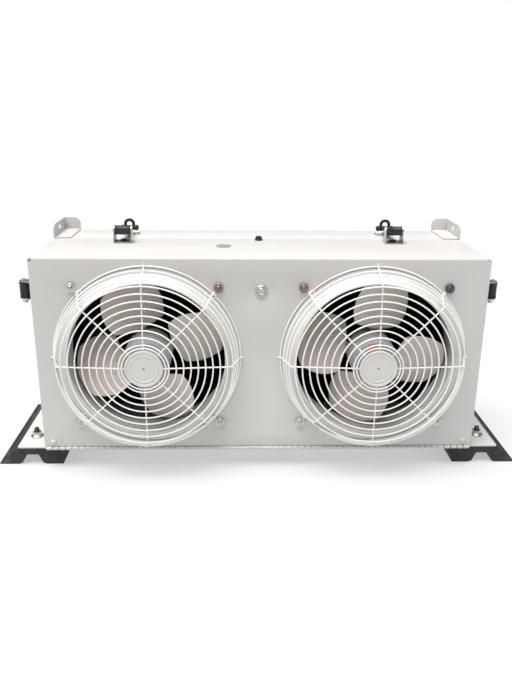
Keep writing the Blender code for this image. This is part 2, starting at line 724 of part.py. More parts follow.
def latches(hood):
    over_side = math.pi / 2
    places = {
        "left_top_latch": ((-LATCH_TOP_X, LATCH_TOP_D, TOP), (0, 0, 0), -1),
        "right_top_latch": ((LATCH_TOP_X, LATCH_TOP_D, TOP), (0, 0, 0), 1),
        "left_side_latch": ((-BOX_W / 2, LATCH_SIDE_D, LATCH_SIDE_Z), (0, -over_side, 0), 1),
        "right_side_latch": ((BOX_W / 2, LATCH_SIDE_D, LATCH_SIDE_Z), (0, over_side, 0), -1),
    }
    for name, ((x, depth, z), rotation, outboard) in places.items():
        latch(hood, name, (x, depth, z - HINGE_Z), rotation, outboard)
        keeper(name.replace("latch", "keeper"), (x, at(depth + REACH), z), rotation)


def centre_fastener(hood):
    """The quarter-turn screw in the middle of the panel; its slot shows how far it is turned."""
    place = (0, 0, FASTENER_Z - HINGE_Z)
    axis = pivot("centre_fastener_axis", place, parent=hood)
    head = add("centre_fastener", rod_mesh("head", FASTENER_R, -0.0035, -GAP), ZINC, axis)
    shank = rod_mesh("shank", FASTENER_SHANK_R, -0.002, 0.014, "Y", 12)
    boolean(head, cutter("fastener_shank", shank, axis), "UNION")
    slot = box_mesh("slot", (-0.008, -0.006, -0.001), (0.008, -0.0022, 0.001))
    boolean(head, cutter("fastener_slot", slot, axis), "DIFFERENCE")


def fan_hood():
    hood = pivot("hood_axis", (0, FRONT, HINGE_Z))
    front_panel(hood)
    for side, x, phase in (("left", -FAN_X, LEFT_FAN_PHASE), ("right", FAN_X, RIGHT_FAN_PHASE)):
        fan_ring(hood, f"{side}_fan_ring", x)
        guard(hood, f"{side}_guard", x)
        stator_end = motor(hood, f"{side}_motor", x)
        fan(hood, side, x, stator_end, phase)
    latches(hood)
    centre_fastener(hood)
    return hood


clear_scene()
PARTS = new_collection("hydraulic_oil_cooler")
CUTTERS = new_collection("cutters")
WHITE = material("white_powder_coat", (0.80, 0.79, 0.77), 0.45)
BLADE = material("warm_grey_blade", (0.47, 0.43, 0.40), 0.5)
DARK_STEEL = material("grey_motor_paint", (0.22, 0.22, 0.22), 0.5, 0.4)
STEEL = material("bright_steel", (0.60, 0.60, 0.60), 0.35, 1.0)
ZINC = material("zinc_plate", (0.62, 0.66, 0.62), 0.35, 1.0)
RUBBER = material("black_rubber", (0.02, 0.02, 0.02), 0.7)
ALUMINIUM = material("bare_aluminium", (0.70, 0.71, 0.72), 0.4, 1.0)
CORE_PAINT = material("black_core_paint", (0.02, 0.02, 0.02), 0.6)

base()
case()
corner_brackets()
oil_cooler()
piano_hinge(fan_hood())
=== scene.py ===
"""Looks of a twin-fan hydraulic oil cooler: sheet-metal case, wire guards, paddle fans, latches and core.

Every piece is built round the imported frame, so its place and size are read from the frame's nodes.
-Y is the fans' side and +Z is up.
"""

import math

import bmesh
import bpy
from bpy.props import FloatProperty, FloatVectorProperty, IntProperty, PointerProperty
from bpy.types import Operator, Panel, PropertyGroup
from mathutils import Matrix, Vector


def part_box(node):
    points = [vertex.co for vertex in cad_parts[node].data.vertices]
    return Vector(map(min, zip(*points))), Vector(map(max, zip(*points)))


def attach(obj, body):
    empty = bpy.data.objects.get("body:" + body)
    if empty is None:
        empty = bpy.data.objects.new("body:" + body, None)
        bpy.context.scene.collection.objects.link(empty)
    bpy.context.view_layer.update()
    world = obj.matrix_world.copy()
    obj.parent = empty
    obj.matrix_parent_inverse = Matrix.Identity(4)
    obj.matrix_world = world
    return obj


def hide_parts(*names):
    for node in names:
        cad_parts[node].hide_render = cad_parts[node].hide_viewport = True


bl_info = {
    "name": "Oil Cooler Looks",
    "version": (1, 0, 0),
    "blender": (4, 5, 0),
    "location": "View3D > Sidebar > Oil Cooler",
    "description": "Builds the visible pieces and finishes of a twin-fan hydraulic oil cooler",
    "category": "Object",
}

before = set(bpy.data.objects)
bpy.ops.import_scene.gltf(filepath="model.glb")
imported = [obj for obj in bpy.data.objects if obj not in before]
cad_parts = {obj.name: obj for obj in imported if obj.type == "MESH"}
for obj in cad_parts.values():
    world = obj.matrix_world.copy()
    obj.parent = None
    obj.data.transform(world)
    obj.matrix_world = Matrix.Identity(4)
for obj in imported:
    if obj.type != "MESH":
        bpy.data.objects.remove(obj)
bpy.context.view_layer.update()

X, Y, Z = Vector((1, 0, 0)), Vector((0, 1, 0)), Vector((0, 0, 1))
FULL_TURN = 2 * math.pi
CASE, HOOD = "case", "fan_hood"
SIDES = (("left", -1), ("right", 1))

PANEL_LOW, PANEL_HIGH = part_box("front_panel")
FRONT, TOP, HALF_W = PANEL_LOW.y, PANEL_HIGH.z, PANEL_HIGH.x
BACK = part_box("rear_case")[1].y
BASE_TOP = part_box("base_plate")[1].z
SHEET = PANEL_HIGH.y - PANEL_LOW.y
HAIR = 0.0003  # room between two pieces that touch
FAN_Z = sum(corner.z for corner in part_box("left_fan_ring")) / 2
THROAT_R = 0.153
ROUND = 40  # sides of a plain round piece


def middle(node):
    """The middle of a node's box."""
    low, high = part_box(node)
    return (low + high) / 2


def fan_centre(side):
    """The middle of a fan's opening, on the panel's front face."""
    return Vector((middle(f"{side}_fan_ring").x, FRONT, FAN_Z))


# ---------------------------------------------------------------- settings
class OilCoolerSettings(PropertyGroup):
    """Sizes and colours that a user would change."""

    wire: FloatProperty(
        name="Guard Wire", description="Radius of the guards' wire", default=0.0014,
        min=0.0005, unit="LENGTH")
    ring_pitch: FloatProperty(
        name="Ring Pitch", description="Distance between the guards' front rings", default=0.0135,
        min=0.004, unit="LENGTH")
    front_rings: IntProperty(
        name="Front Rings", description="Rings on the coned front of each guard", default=9, min=1)
    sheet_edge: FloatProperty(
        name="Sheet Edge", description="Rounding of the cut edges of sheet metal", default=0.0005,
        min=0.0, unit="LENGTH")
    bend: FloatProperty(
        name="Bend Radius", description="Outer radius of the folded sheet's bends", default=0.0032,
        min=0.0005, unit="LENGTH")
    blade_camber: FloatProperty(
        name="Blade Camber", description="How far the middle of a blade bows towards the front",
        default=0.004, min=0.0, unit="LENGTH")
    fin_pitch: FloatProperty(
        name="Fin Pitch", description="Distance between the folds of the core's fins", default=0.0050,
        min=0.002, unit="LENGTH")
    paint: FloatVectorProperty(
        name="Case Paint", description="Colour of the powder coat", subtype="COLOR",
        default=(0.64, 0.622, 0.606), min=0.0, max=1.0)
    blade_paint: FloatVectorProperty(
        name="Blade Paint", description="Colour of the fan blades", subtype="COLOR",
        default=(0.72, 0.665, 0.61), min=0.0, max=1.0)
    rubber: FloatVectorProperty(
        name="Rubber", description="Colour of the straps and the skid rails", subtype="COLOR",
        default=(0.012, 0.012, 0.013), min=0.0, max=1.0)
    overhead: FloatProperty(
        name="Overhead", description="Strength of the broad light from above", default=4.9,
        min=0.0)
    sky: FloatProperty(
        name="Sky", description="Strength of the even light all round", default=0.20, min=0.0)
    table: FloatProperty(
        name="Table", description="Own light of the lit white table under the object", default=0.45,
        min=0.0)


# ---------------------------------------------------------------- shape makers
def aimed(place, direction):
    """The matrix that puts a shape made round +Z at a place, pointing in a direction."""
    return Matrix.Translation(place) @ Vector(direction).to_track_quat("Z", "Y").to_matrix().to_4x4()


def rounded(shape, edges, width, segments=2):
    """The shape with some of its edges rounded."""
    if width > 0:
        bmesh.ops.bevel(shape, geom=list(edges), offset=width, offset_type="OFFSET", segments=segments,
                        profile=0.5, affect="EDGES", clamp_overlap=True, material=-1)
    return shape


def sharp_edges(shape, degrees=50):
    """The edges whose faces meet at more than an angle."""
    limit = math.radians(degrees)
    return [e for e in shape.edges if len(e.link_faces) == 2 and e.calc_face_angle(0) > limit]


def block(low, high, edge=0.0, segments=2):
    """A box between two corners, its edges rounded."""
    shape = bmesh.new()
    low, high = Vector(low), Vector(high)
    bmesh.ops.create_cube(shape, size=1.0)
    bmesh.ops.scale(shape, verts=shape.verts, vec=high - low)
    bmesh.ops.translate(shape, verts=shape.verts, vec=(low + high) / 2)
    return rounded(shape, shape.edges, edge, segments)


def rod(start, end, radius, edge=0.0, sides=ROUND, segments=2, end_radius=None):
    """A cylinder or cone between two places, its two rims rounded."""
    start, end = Vector(start), Vector(end)
    shape = bmesh.new()
    bmesh.ops.create_cone(
        shape, cap_ends=True, segments=sides, radius1=radius,
        radius2=radius if end_radius is None else end_radius, depth=(end - start).length,
        matrix=aimed((start + end) / 2, end - start))
    rims = [e for e in shape.edges if any(len(f.verts) == sides for f in e.link_faces)]
    return rounded(shape, rims, edge, segments) if sides > 4 else rounded(shape, shape.edges, edge)


def turned(profile, centre, axis, steps=64, closed=False):
    """A shape spun about an axis from (radius, height) points; closed when the profile is a loop."""
    centre, axis = Vector(centre), Vector(axis).normalized()
    across = axis.orthogonal().normalized()
    shape = bmesh.new()
    corners = [shape.verts.new(centre + across * r + axis * h) for r, h in profile]
    following = corners[1:] + corners[:1] if closed else corners[1:]
    for first, second in zip(corners, following):
        shape.edges.new((first, second))
    bmesh.ops.spin(shape, geom=shape.verts[:] + shape.edges[:], cent=centre, axis=axis,
                   angle=FULL_TURN, steps=steps, use_merge=True, use_duplicate=False)
    bmesh.ops.remove_doubles(shape, verts=shape.verts, dist=0.000001)
    bmesh.ops.recalc_face_normals(shape, faces=shape.faces)
    return shape


def arc(centre, radius, start, sweep, steps):
    """Points along an arc in a plane, angles in degrees, both ends included."""
    return [
        (centre[0] + radius * math.cos(math.radians(start + sweep * i / steps)),
         centre[1] + radius * math.sin(math.radians(start + sweep * i / steps)))
        for i in range(steps + 1)
    ]


def circle(centre, radius, steps=96):
    """Points round a full circle, for an outline that closes itself."""
    return arc(centre, radius, 0, 360, steps)[:-1]


def round_rectangle(left, right, low, high, radius, steps=6):
    """A rectangle's outline with round corners, counter-clockwise."""
    corners = ((right - radius, low + radius, -90), (right - radius, high - radius, 0),
               (left + radius, high - radius, 90), (left + radius, low + radius, 180))
    return [p for x, y, start in corners for p in arc((x, y), radius, start, 90, steps)]


PLANES = {
    "XY": lambda a, b, depth: Vector((a, b, depth)),
    "XZ": lambda a, b, depth: Vector((a, depth, b)),
    "YZ": lambda a, b, depth: Vector((depth, a, b)),
}


def plate(outline, plane, start, end, holes=(), edge=0.0, segments=2):
    """A flat shape between two depths across a plane, with round-edged rims and holes."""
    shape = bmesh.new()
    place = PLANES[plane]
    for points in (outline, *holes):
        corners = [shape.verts.new(place(a, b, start)) for a, b in points]
        for first, second in zip(corners, corners[1:] + corners[:1]):
            shape.edges.new((first, second))
    if holes:
        bmesh.ops.triangle_fill(shape, edges=shape.edges[:], use_beauty=True, use_dissolve=False)
    else:
        shape.faces.new(shape.verts[:])
    made = bmesh.ops.extrude_face_region(shape, geom=shape.faces[:])["geom"]
    risen = [v for v in made if isinstance(v, bmesh.types.BMVert)]
    bmesh.ops.translate(shape, verts=risen, vec=place(0, 0, end - start))
    bmesh.ops.recalc_face_normals(shape, faces=shape.faces)
    rims = [e for e in sharp_edges(shape) if abs((e.verts[0].co - e.verts[1].co).normalized().dot(
        place(0, 0, 1))) < 0.5]
    return rounded(shape, rims, edge, segments)


def sweep(start, direction, moves, radius, sides=10):
    """A round wire: moves are ("go", length) or ("turn", axis, bend radius, angle)."""
    place, way = Vector(start), Vector(direction).normalized()
    shape = bmesh.new()
    bmesh.ops.create_circle(shape, cap_ends=False, segments=sides, radius=radius,
                            matrix=aimed(place, way))
    rim = shape.edges[:]
    for move, *values in moves:
        if move == "go":
            made = bmesh.ops.extrude_edge_only(shape, edges=rim)["geom"]
            bmesh.ops.translate(shape, verts=[v for v in made if isinstance(v, bmesh.types.BMVert)],
                                vec=way * values[0])
            place += way * values[0]
        else:
            axis, bend, angle = values
            axis = Vector(axis).normalized()
            centre = place + axis.cross(way) * bend
            steps = max(3, round(math.degrees(abs(angle)) / 12))
            made = bmesh.ops.spin(shape, geom=rim, cent=centre, axis=axis, angle=angle, steps=steps,
                                  use_duplicate=False)["geom_last"]
            turn = Matrix.Rotation(angle, 3, axis)
            place = centre + turn @ (place - centre)
            way = turn @ way
        rim = [e for e in made if isinstance(e, bmesh.types.BMEdge)]
        if move == "go":
            fresh = {v for v in made if isinstance(v, bmesh.types.BMVert)}
            rim = [e for e in rim if e.verts[0] in fresh and e.verts[1] in fresh]
    bmesh.ops.remove_doubles(shape, verts=shape.verts, dist=0.000001)
    bmesh.ops.holes_fill(shape, edges=shape.edges[:], sides=0)
    bmesh.ops.recalc_face_normals(shape, faces=shape.faces)
    return shape


def together(*shapes):
    """Several shapes as one bmesh; each stays its own closed body."""
    whole = bmesh.new()
    for shape in shapes:
        mesh = bpy.data.meshes.new("part")
        shape.to_mesh(mesh)
        shape.free()
        whole.from_mesh(mesh)
        bpy.data.meshes.remove(mesh)
    return whole


def carved(shape, tool, operation="DIFFERENCE"):
    """The shape cut by, joined with or kept inside another."""
    objects = []
    for name, source in (("work", shape), ("tool", tool)):
        mesh = bpy.data.meshes.new(name)
        source.to_mesh(mesh)
        source.free()
        made = bpy.data.objects.new(name, mesh)
        bpy.context.scene.collection.objects.link(made)
        objects.append(made)
    work, cutter = objects
    step = work.modifiers.new("carve", "BOOLEAN")
    step.operation, step.object, step.solver = operation, cutter, "EXACT"
    bpy.context.view_layer.update()
    mesh = bpy.data.meshes.new_from_object(work.evaluated_get(bpy.context.evaluated_depsgraph_get()))
    result = bmesh.new()
    result.from_mesh(mesh)
    bpy.data.meshes.remove(mesh)
    for made in objects:
        left = made.data
        bpy.data.objects.remove(made, do_unlink=True)
        bpy.data.meshes.remove(left)
    bmesh.ops.remove_doubles(result, verts=result.verts, dist=0.000002)
    bmesh.ops.dissolve_degenerate(result, edges=result.edges[:], dist=0.000002)
    return result


def placed(shape, matrix):
    """The shape moved by a matrix."""
    bmesh.ops.transform(shape, matrix=matrix, verts=shape.verts)
    return shape


def piece(name, shape, finish, body, replaces=(), degrees=35):
    """A finished piece at the origin, riding on its body."""
    bmesh.ops.remove_doubles(shape, verts=shape.verts, dist=0.000001)
    bmesh.ops.recalc_face_normals(shape, faces=shape.faces)
    mesh = bpy.data.meshes.new(name)
    shape.to_mesh(mesh)
    shape.free()
    mesh.shade_smooth()
    mesh.set_sharp_from_angle(angle=math.radians(degrees))
    mesh.materials.append(finish)
    made = bpy.data.objects.new(name, mesh)
    bpy.context.scene.collection.objects.link(made)
    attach(made, body)
    if replaces:
        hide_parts(*replaces)
    return made


# ---------------------------------------------------------------- shader groups
def group_socket(group, name, way, kind, value=None):
    """A named input or output of a shader group."""
    made = group.interface.new_socket(name=name, in_out=way, socket_type=kind)
    if value is not None:
        made.default_value = value
    return made


def node(tree, kind, inputs=None, **settings):
    """A shader node with its settings, its inputs given as values or as sockets to link."""
    made = tree.nodes.new(kind)
    for name, value in settings.items():
        setattr(made, name, value)
    for name, value in (inputs or {}).items():
        if isinstance(value, bpy.types.NodeSocket):
            tree.links.new(value, made.inputs[name])
        else:
            made.inputs[name].default_value = value
    return made


def mixed_colour(tree, share, first, second, blend="MIX"):
    """The colour socket of a mix between two colours."""
    mix = node(tree, "ShaderNodeMix", data_type="RGBA", blend_type=blend)
    for index, value in ((0, share), (6, first), (7, second)):
        if isinstance(value, bpy.types.NodeSocket):
            tree.links.new(value, mix.inputs[index])
        else:
            mix.inputs[index].default_value = value
    return mix.outputs[2]


def ranged(tree, value, low, high, to_low=0.0, to_high=1.0):
    """A value mapped from one range to another."""
    return node(tree, "ShaderNodeMapRange", {
        "Value": value, "From Min": low, "From Max": high, "To Min": to_low, "To Max": to_high,
    }).outputs["Result"]


def noise(tree, coordinates, scale, detail=3.0, roughness=0.55):
    """The value of a noise pattern, about a half on average."""
    return node(tree, "ShaderNodeTexNoise", {
        "Vector": coordinates, "Scale": scale, "Detail": detail, "Roughness": roughness,
    }).outputs["Fac"]


def object_coordinates(tree):
    """The piece's own coordinates, so that a pattern moves with it."""
    return node(tree, "ShaderNodeTexCoord").outputs["Object"]


def surface_group(name, build, inputs):
    """A group with named inputs that gives Colour, Roughness and Height."""
    group = bpy.data.node_groups.new(name, "ShaderNodeTree")
    for label, kind, value in inputs:
        group_socket(group, label, "INPUT", kind, value)
    for label, kind in (("Colour", "NodeSocketColor"), ("Roughness", "NodeSocketFloat"),
                        ("Height", "NodeSocketFloat")):
        group_socket(group, label, "OUTPUT", kind)
    entry = group.nodes.new("NodeGroupInput")
    colour, rough, height = build(group, entry)
    leave = group.nodes.new("NodeGroupOutput")
    for label, socket in (("Colour", colour), ("Roughness", rough), ("Height", height)):
        group.links.new(socket, leave.inputs[label])
    return group


def build_painted(tree, entry):
    """Sprayed paint: orange peel, slow tone drift, dust in small specks."""
    place = object_coordinates(tree)
    drift = noise(tree, place, 3.5, 2.0)
    peel = noise(tree, place, 520.0, 2.0)
    speck = noise(tree, place, 95.0, 5.0, 0.7)
    toned = mixed_colour(tree, ranged(tree, drift, 0.3, 0.7, 0.0, 1.0),
                         entry.outputs["Paint"], entry.outputs["Second Tone"])
    grime = node(tree, "ShaderNodeMath", {0: ranged(tree, speck, 0.52, 0.80), 1: entry.outputs["Dust"]},
                 operation="MULTIPLY").outputs[0]
    colour = mixed_colour(tree, grime, toned, (0.30, 0.27, 0.23, 1.0))
    rough = node(tree, "ShaderNodeMath", {
        0: entry.outputs["Roughness"], 1: ranged(tree, speck, 0.3, 0.7, -0.05, 0.07),
    }, operation="ADD").outputs[0]
    height = node(tree, "ShaderNodeMath", {0: peel, 1: ranged(tree, drift, 0, 1, 0, 0.6)},
                  operation="ADD").outputs[0]
    return colour, rough, height


def build_metal(tree, entry):
    """Plated or bare metal: mottled tone, fine scratches along one way, small pits."""
    place = object_coordinates(tree)
    mottle = noise(tree, place, 70.0, 4.0, 0.6)
    stretched = node(tree, "ShaderNodeMapping", {
        "Vector": place, "Scale": entry.outputs["Scratch Scale"],
    }).outputs["Vector"]
    scratch = noise(tree, stretched, 900.0, 2.0)
    pits = noise(tree, place, 700.0, 3.0)
    colour = mixed_colour(tree, ranged(tree, mottle, 0.32, 0.68), entry.outputs["Metal"],
                          entry.outputs["Second Tone"])
    rough = node(tree, "ShaderNodeMath", {
        0: entry.outputs["Roughness"], 1: ranged(tree, scratch, 0.3, 0.7, -0.08, 0.14),
    }, operation="ADD").outputs[0]
    height = node(tree, "ShaderNodeMath", {0: scratch, 1: pits}, operation="ADD").outputs[0]
    return colour, rough, height


def build_rubber(tree, entry):
    """Moulded rubber: fine grain with a pale bloom on it."""
    place = object_coordinates(tree)
    grain = noise(tree, place, 1100.0, 3.0)
    bloom = noise(tree, place, 38.0, 6.0, 0.65)
    share = node(tree, "ShaderNodeMath", {0: ranged(tree, bloom, 0.45, 0.8), 1: entry.outputs["Bloom"]},
                 operation="MULTIPLY").outputs[0]
    colour = mixed_colour(tree, share, entry.outputs["Rubber"], (0.20, 0.20, 0.20, 1.0))
    rough = node(tree, "ShaderNodeMath", {
        0: entry.outputs["Roughness"], 1: ranged(tree, bloom, 0.3, 0.7, -0.08, 0.12),
    }, operation="ADD").outputs[0]
    return colour, rough, grain


COLOUR, NUMBER, TRIPLE = "NodeSocketColor", "NodeSocketFloat", "NodeSocketVector"


def make_groups():
    """The three kinds of surface that all the finishes share."""
    return {
        "painted": surface_group("painted_surface", build_painted, [
            ("Paint", COLOUR, (0.8, 0.8, 0.8, 1)), ("Second Tone", COLOUR, (0.78, 0.78, 0.78, 1)),
            ("Roughness", NUMBER, 0.4), ("Dust", NUMBER, 0.1)]),
        "metal": surface_group("metal_surface", build_metal, [
            ("Metal", COLOUR, (0.7, 0.7, 0.7, 1)), ("Second Tone", COLOUR, (0.6, 0.6, 0.6, 1)),
            ("Roughness", NUMBER, 0.3), ("Scratch Scale", TRIPLE, (0.05, 1.0, 1.0))]),
        "rubber": surface_group("rubber_surface", build_rubber, [
            ("Rubber", COLOUR, (0.02, 0.02, 0.02, 1)), ("Roughness", NUMBER, 0.6),
            ("Bloom", NUMBER, 0.3)]),
    }


def finish(name, group, values, bump=0.1, distance=0.0002, **plain):
    """A material whose group feeds the shader; plain values are set on the shader's own sockets."""
    made = bpy.data.materials.new(name)
    made.use_nodes = True
    tree = made.node_tree
    shader = tree.nodes["Principled BSDF"]
    surface = node(tree, "ShaderNodeGroup", node_tree=group)
    for label, value in values.items():
        surface.inputs[label].default_value = value
    tree.links.new(surface.outputs["Colour"], shader.inputs["Base Color"])
    tree.links.new(surface.outputs["Roughness"], shader.inputs["Roughness"])
    relief = node(tree, "ShaderNodeBump", {
        "Strength": bump, "Distance": distance, "Height": surface.outputs["Height"]})
    tree.links.new(relief.outputs["Normal"], shader.inputs["Normal"])
    for label, value in plain.items():
        shader.inputs[label.replace("_", " ")].default_value = value
    return made


def opaque(colour, scale=1.0):
    """A colour with full alpha, made lighter or darker."""
    return (*(min(1.0, part * scale) for part in colour), 1.0)


# each blade's paint gets its own tint: partly the blades' own colour, partly painted light and shade, some
# tints lighter and some darker for where each blade sits with the fan at rest
BLADE_TINTS_AND_SHADES = ((0.98, 1.00, 0.98), (0.92, 0.90, 0.90), (1.02, 0.98, 0.98), (1.00, 1.02, 1.06))


def tinted_and_shaded(colour, tint_and_shade, scale=1.0):
    """A colour times a tint that also carries painted light and shade."""
    return opaque([part * share for part, share in zip(colour, tint_and_shade)], scale)


def make_finishes(settings):
    """Every material by its name."""
    groups = make_groups()
    painted, metal, rubber = groups["painted"], groups["metal"], groups["rubber"]
    white = opaque(settings.paint)
    return {
        "white_powder_coat": finish("white_powder_coat", painted, {
            "Paint": white, "Second Tone": opaque(settings.paint, 0.975), "Roughness": 0.42,
            "Dust": 0.05}, bump=0.10),
        # Painted highlight: this white is far lighter than the case's white powder coat, so that the wires
        # read brighter than the panel behind them.
        "white_wire": finish("white_wire", painted, {
            "Paint": opaque((0.94, 0.93, 0.91)), "Second Tone": opaque((0.91, 0.90, 0.88)),
            "Roughness": 0.30, "Dust": 0.03}, bump=0.05),
        "ring_paint": finish("ring_paint", painted, {
            "Paint": opaque((0.70, 0.685, 0.665)), "Second Tone": opaque((0.67, 0.655, 0.635)),
            "Roughness": 0.38, "Dust": 0.04}, bump=0.06),
        # blade paints: each tint carries painted light and shade as well as colour
        **{f"blade_paint_{i + 1}": finish(f"blade_paint_{i + 1}", painted, {
            "Paint": tinted_and_shaded(settings.blade_paint, tint_and_shade),
            "Second Tone": tinted_and_shaded(settings.blade_paint, tint_and_shade, 0.86),
            "Roughness": 0.46, "Dust": 0.18}, bump=0.12) for i, tint_and_shade in enumerate(BLADE_TINTS_AND_SHADES)},
        "motor_paint": finish("motor_paint", painted, {
            "Paint": (0.44, 0.44, 0.435, 1), "Second Tone": (0.34, 0.34, 0.335, 1), "Roughness": 0.5,
            "Dust": 0.25}, bump=0.25),
        "orange_tag": finish("orange_tag", painted, {
            "Paint": (0.75, 0.16, 0.05, 1), "Second Tone": (0.68, 0.14, 0.05, 1), "Roughness": 0.4,
            "Dust": 0.10}, bump=0.05),
        "plug_grey": finish("plug_grey", painted, {
            "Paint": (0.30, 0.30, 0.295, 1), "Second Tone": (0.26, 0.26, 0.26, 1), "Roughness": 0.45,
            "Dust": 0.10}, bump=0.1),
        "black_core_paint": finish("black_core_paint", painted, {
            "Paint": (0.008, 0.008, 0.008, 1), "Second Tone": (0.012, 0.012, 0.012, 1),
            "Roughness": 0.55, "Dust": 0.03}, bump=0.2),
        "zinc_plate": finish("zinc_plate", metal, {
            "Metal": (0.62, 0.64, 0.61, 1), "Second Tone": (0.48, 0.49, 0.44, 1), "Roughness": 0.32},
            bump=0.08, distance=0.0001, Metallic=1.0),
        "yellow_zinc": finish("yellow_zinc", metal, {
            "Metal": (0.38, 0.28, 0.22, 1), "Second Tone": (0.24, 0.18, 0.16, 1), "Roughness": 0.36},
            bump=0.08, distance=0.0001, Metallic=1.0),
        "blued_steel": finish("blued_steel", metal, {
            "Metal": (0.16, 0.20, 0.25, 1), "Second Tone": (0.07, 0.08, 0.11, 1), "Roughness": 0.34},
            bump=0.08, distance=0.0001, Metallic=1.0),
        "dark_steel": finish("dark_steel", metal, {
            "Metal": (0.105, 0.105, 0.105, 1), "Second Tone": (0.05, 0.05, 0.05, 1), "Roughness": 0.42},
            bump=0.1, distance=0.0001, Metallic=1.0),
        "bright_steel": finish("bright_steel", metal, {
            "Metal": (0.74, 0.74, 0.73, 1), "Second Tone": (0.62, 0.62, 0.61, 1), "Roughness": 0.25},
            bump=0.06, distance=0.0001, Metallic=1.0),
        "black_rubber": finish("black_rubber", rubber, {
            "Rubber": opaque(settings.rubber), "Roughness": 0.50, "Bloom": 0.10}, bump=0.15),
        "rail_rubber": finish("rail_rubber", rubber, {
            "Rubber": opaque(settings.rubber, 1.2), "Roughness": 0.58, "Bloom": 0.22}, bump=0.25),
    }


FINISHES = {}


# ---------------------------------------------------------------- base
def thread(centre, low, high, radius, pitch=0.0015, depth=0.0008):
    """A threaded stud as close ridges, its top end chamfered."""
    profile = [(0.0, low), (radius, low)]
    turns = int((high - low - 0.002) / pitch)
    for i in range(turns):
        start = high - 0.001 - (turns - i) * pitch
        profile += [(radius, start), (radius - depth, start + pitch / 2)]
    profile += [(radius, high - 0.0012), (radius - 0.0012, high), (0.0, high)]
    return turned(profile, (centre[0], centre[1], 0), Z, 32)


def hexagon(centre, axis, low, high, across_corners):
    """A hexagonal nut or head whose corners are chamfered."""
    centre, axis = Vector(centre), Vector(axis).normalized()
    body = rod(centre + axis * low, centre + axis * high, across_corners, sides=6)
    cut = across_corners * 0.12
    drum = turned([(0, low - 0.001), (across_corners * 0.90, low - 0.001),
                   (across_corners * 1.01, low + cut), (across_corners * 1.01, high - cut),
                   (across_corners * 0.90, high + 0.0002), (0, high + 0.0002)], centre, axis, 48)
    return carved(body, drum, "INTERSECT")


def anchor_bolts():
    """A bolt up through each corner of the base, with its washer and flanged nut."""
    for side, _sign in SIDES:
        for end in ("front", "back"):
            bolt, nut = f"{side}_{end}_anchor_bolt", f"{side}_{end}_anchor_nut"
            low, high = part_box(bolt)
            nut_low, nut_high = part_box(nut)
            centre = (middle(bolt).x, middle(bolt).y, 0)
            head = hexagon(centre, Z, low.z, low.z + 0.0064, 0.0095)
            stud = thread(centre, low.z + 0.006, high.z, 0.0048)
            piece(bolt + "_fine", together(head, stud), FINISHES["dark_steel"], CASE, [bolt])
            washer = turned([(0.0056, nut_low.z), (0.0126, nut_low.z), (0.0130, nut_low.z + 0.0004),
                             (0.0130, nut_low.z + 0.0016), (0.0126, nut_low.z + 0.0020),
                             (0.0056, nut_low.z + 0.0020)], centre, Z, 48, closed=True)
            body = hexagon(centre, Z, nut_low.z + 0.0021, nut_high.z, 0.0095)
            flange = turned([(0.0053, nut_low.z + 0.0021), (0.0112, nut_low.z + 0.0021),
                             (0.0112, nut_low.z + 0.0026), (0.0092, nut_low.z + 0.0042),
                             (0.0053, nut_low.z + 0.0042)], centre, Z, 48, closed=True)
            hole = rod((centre[0], centre[1], nut_low.z), (centre[0], centre[1], nut_high.z + 0.001), 0.0052)
            piece(nut + "_fine", together(washer, flange, carved(body, hole)), FINISHES["zinc_plate"],
                  CASE, [nut])


def base_plate(edge):
    """The sheet that the case stands on, with a bolt hole at each corner."""
    low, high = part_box("base_plate")
    holes = [circle((middle(f"{side}_{end}_anchor_bolt").x, middle(f"{side}_{end}_anchor_bolt").y),
                    0.0056, 32)
             for side, _sign in SIDES for end in ("front", "back")]
    shape = plate(round_rectangle(low.x, high.x, low.y, high.y, 0.003, 3), "XY", low.z, high.z,
                  holes, edge)
    piece("base_plate_painted", shape, FINISHES["white_powder_coat"], CASE, ["base_plate"])


def skid_rails():
    """Each rail: ground flange outside, two legs with a notch between, round at the toes."""
    for side, sign in SIDES:
        low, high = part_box(f"{side}_rail")
        top = high.z
        outline = [
            (0.5290, 0.0), (0.5290, 0.0030), (0.5068, 0.0038), (0.5058, 0.0250), (0.4920, top),
            (0.3860, top), (0.4000, 0.0), (0.4330, 0.0), (0.4410, 0.0030),
            (0.4495, 0.0210), (0.4735, 0.0210), (0.4830, 0.0030), (0.4890, 0.0),
        ]
        shape = plate([(sign * x, z) for x, z in outline], "XZ", low.y, high.y)
        along = [e for e in shape.edges
                 if abs((e.verts[0].co - e.verts[1].co).normalized().y) > 0.9]
        rounded(shape, along, 0.0011, 3)
        rounded(shape, sharp_edges(shape, 60), 0.0005, 2)
        for end in ("front", "back"):
            place = middle(f"{side}_{end}_anchor_bolt")
            shape = carved(shape, rod((place.x, place.y, 0.015), (place.x, place.y, top + 0.002), 0.0056))
        piece(f"{side}_rail_moulded", shape, FINISHES["rail_rubber"], CASE, [f"{side}_rail"])


# ---------------------------------------------------------------- case
HOOD_TOP_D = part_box("hood_cover")[1].y - FRONT
HOOD_SIDE_D = 0.026
HOOD_KNEE = 0.245
SEAM = 0.0005


def hood_share(grow):
    """The hood's share of the case: upright gussets low down, which slope back to the seam at the top."""
    box_h = TOP - BASE_TOP
    outline = [(-0.05, -0.02), (HOOD_SIDE_D + grow, -0.02), (HOOD_SIDE_D + grow, HOOD_KNEE - grow),
               (HOOD_TOP_D + grow, box_h - 0.004 - grow), (HOOD_TOP_D + grow, box_h + 0.02),
               (-0.05, box_h + 0.02)]
    return plate([(FRONT + depth, BASE_TOP + height) for depth, height in outline], "YZ", -0.5, 0.5)


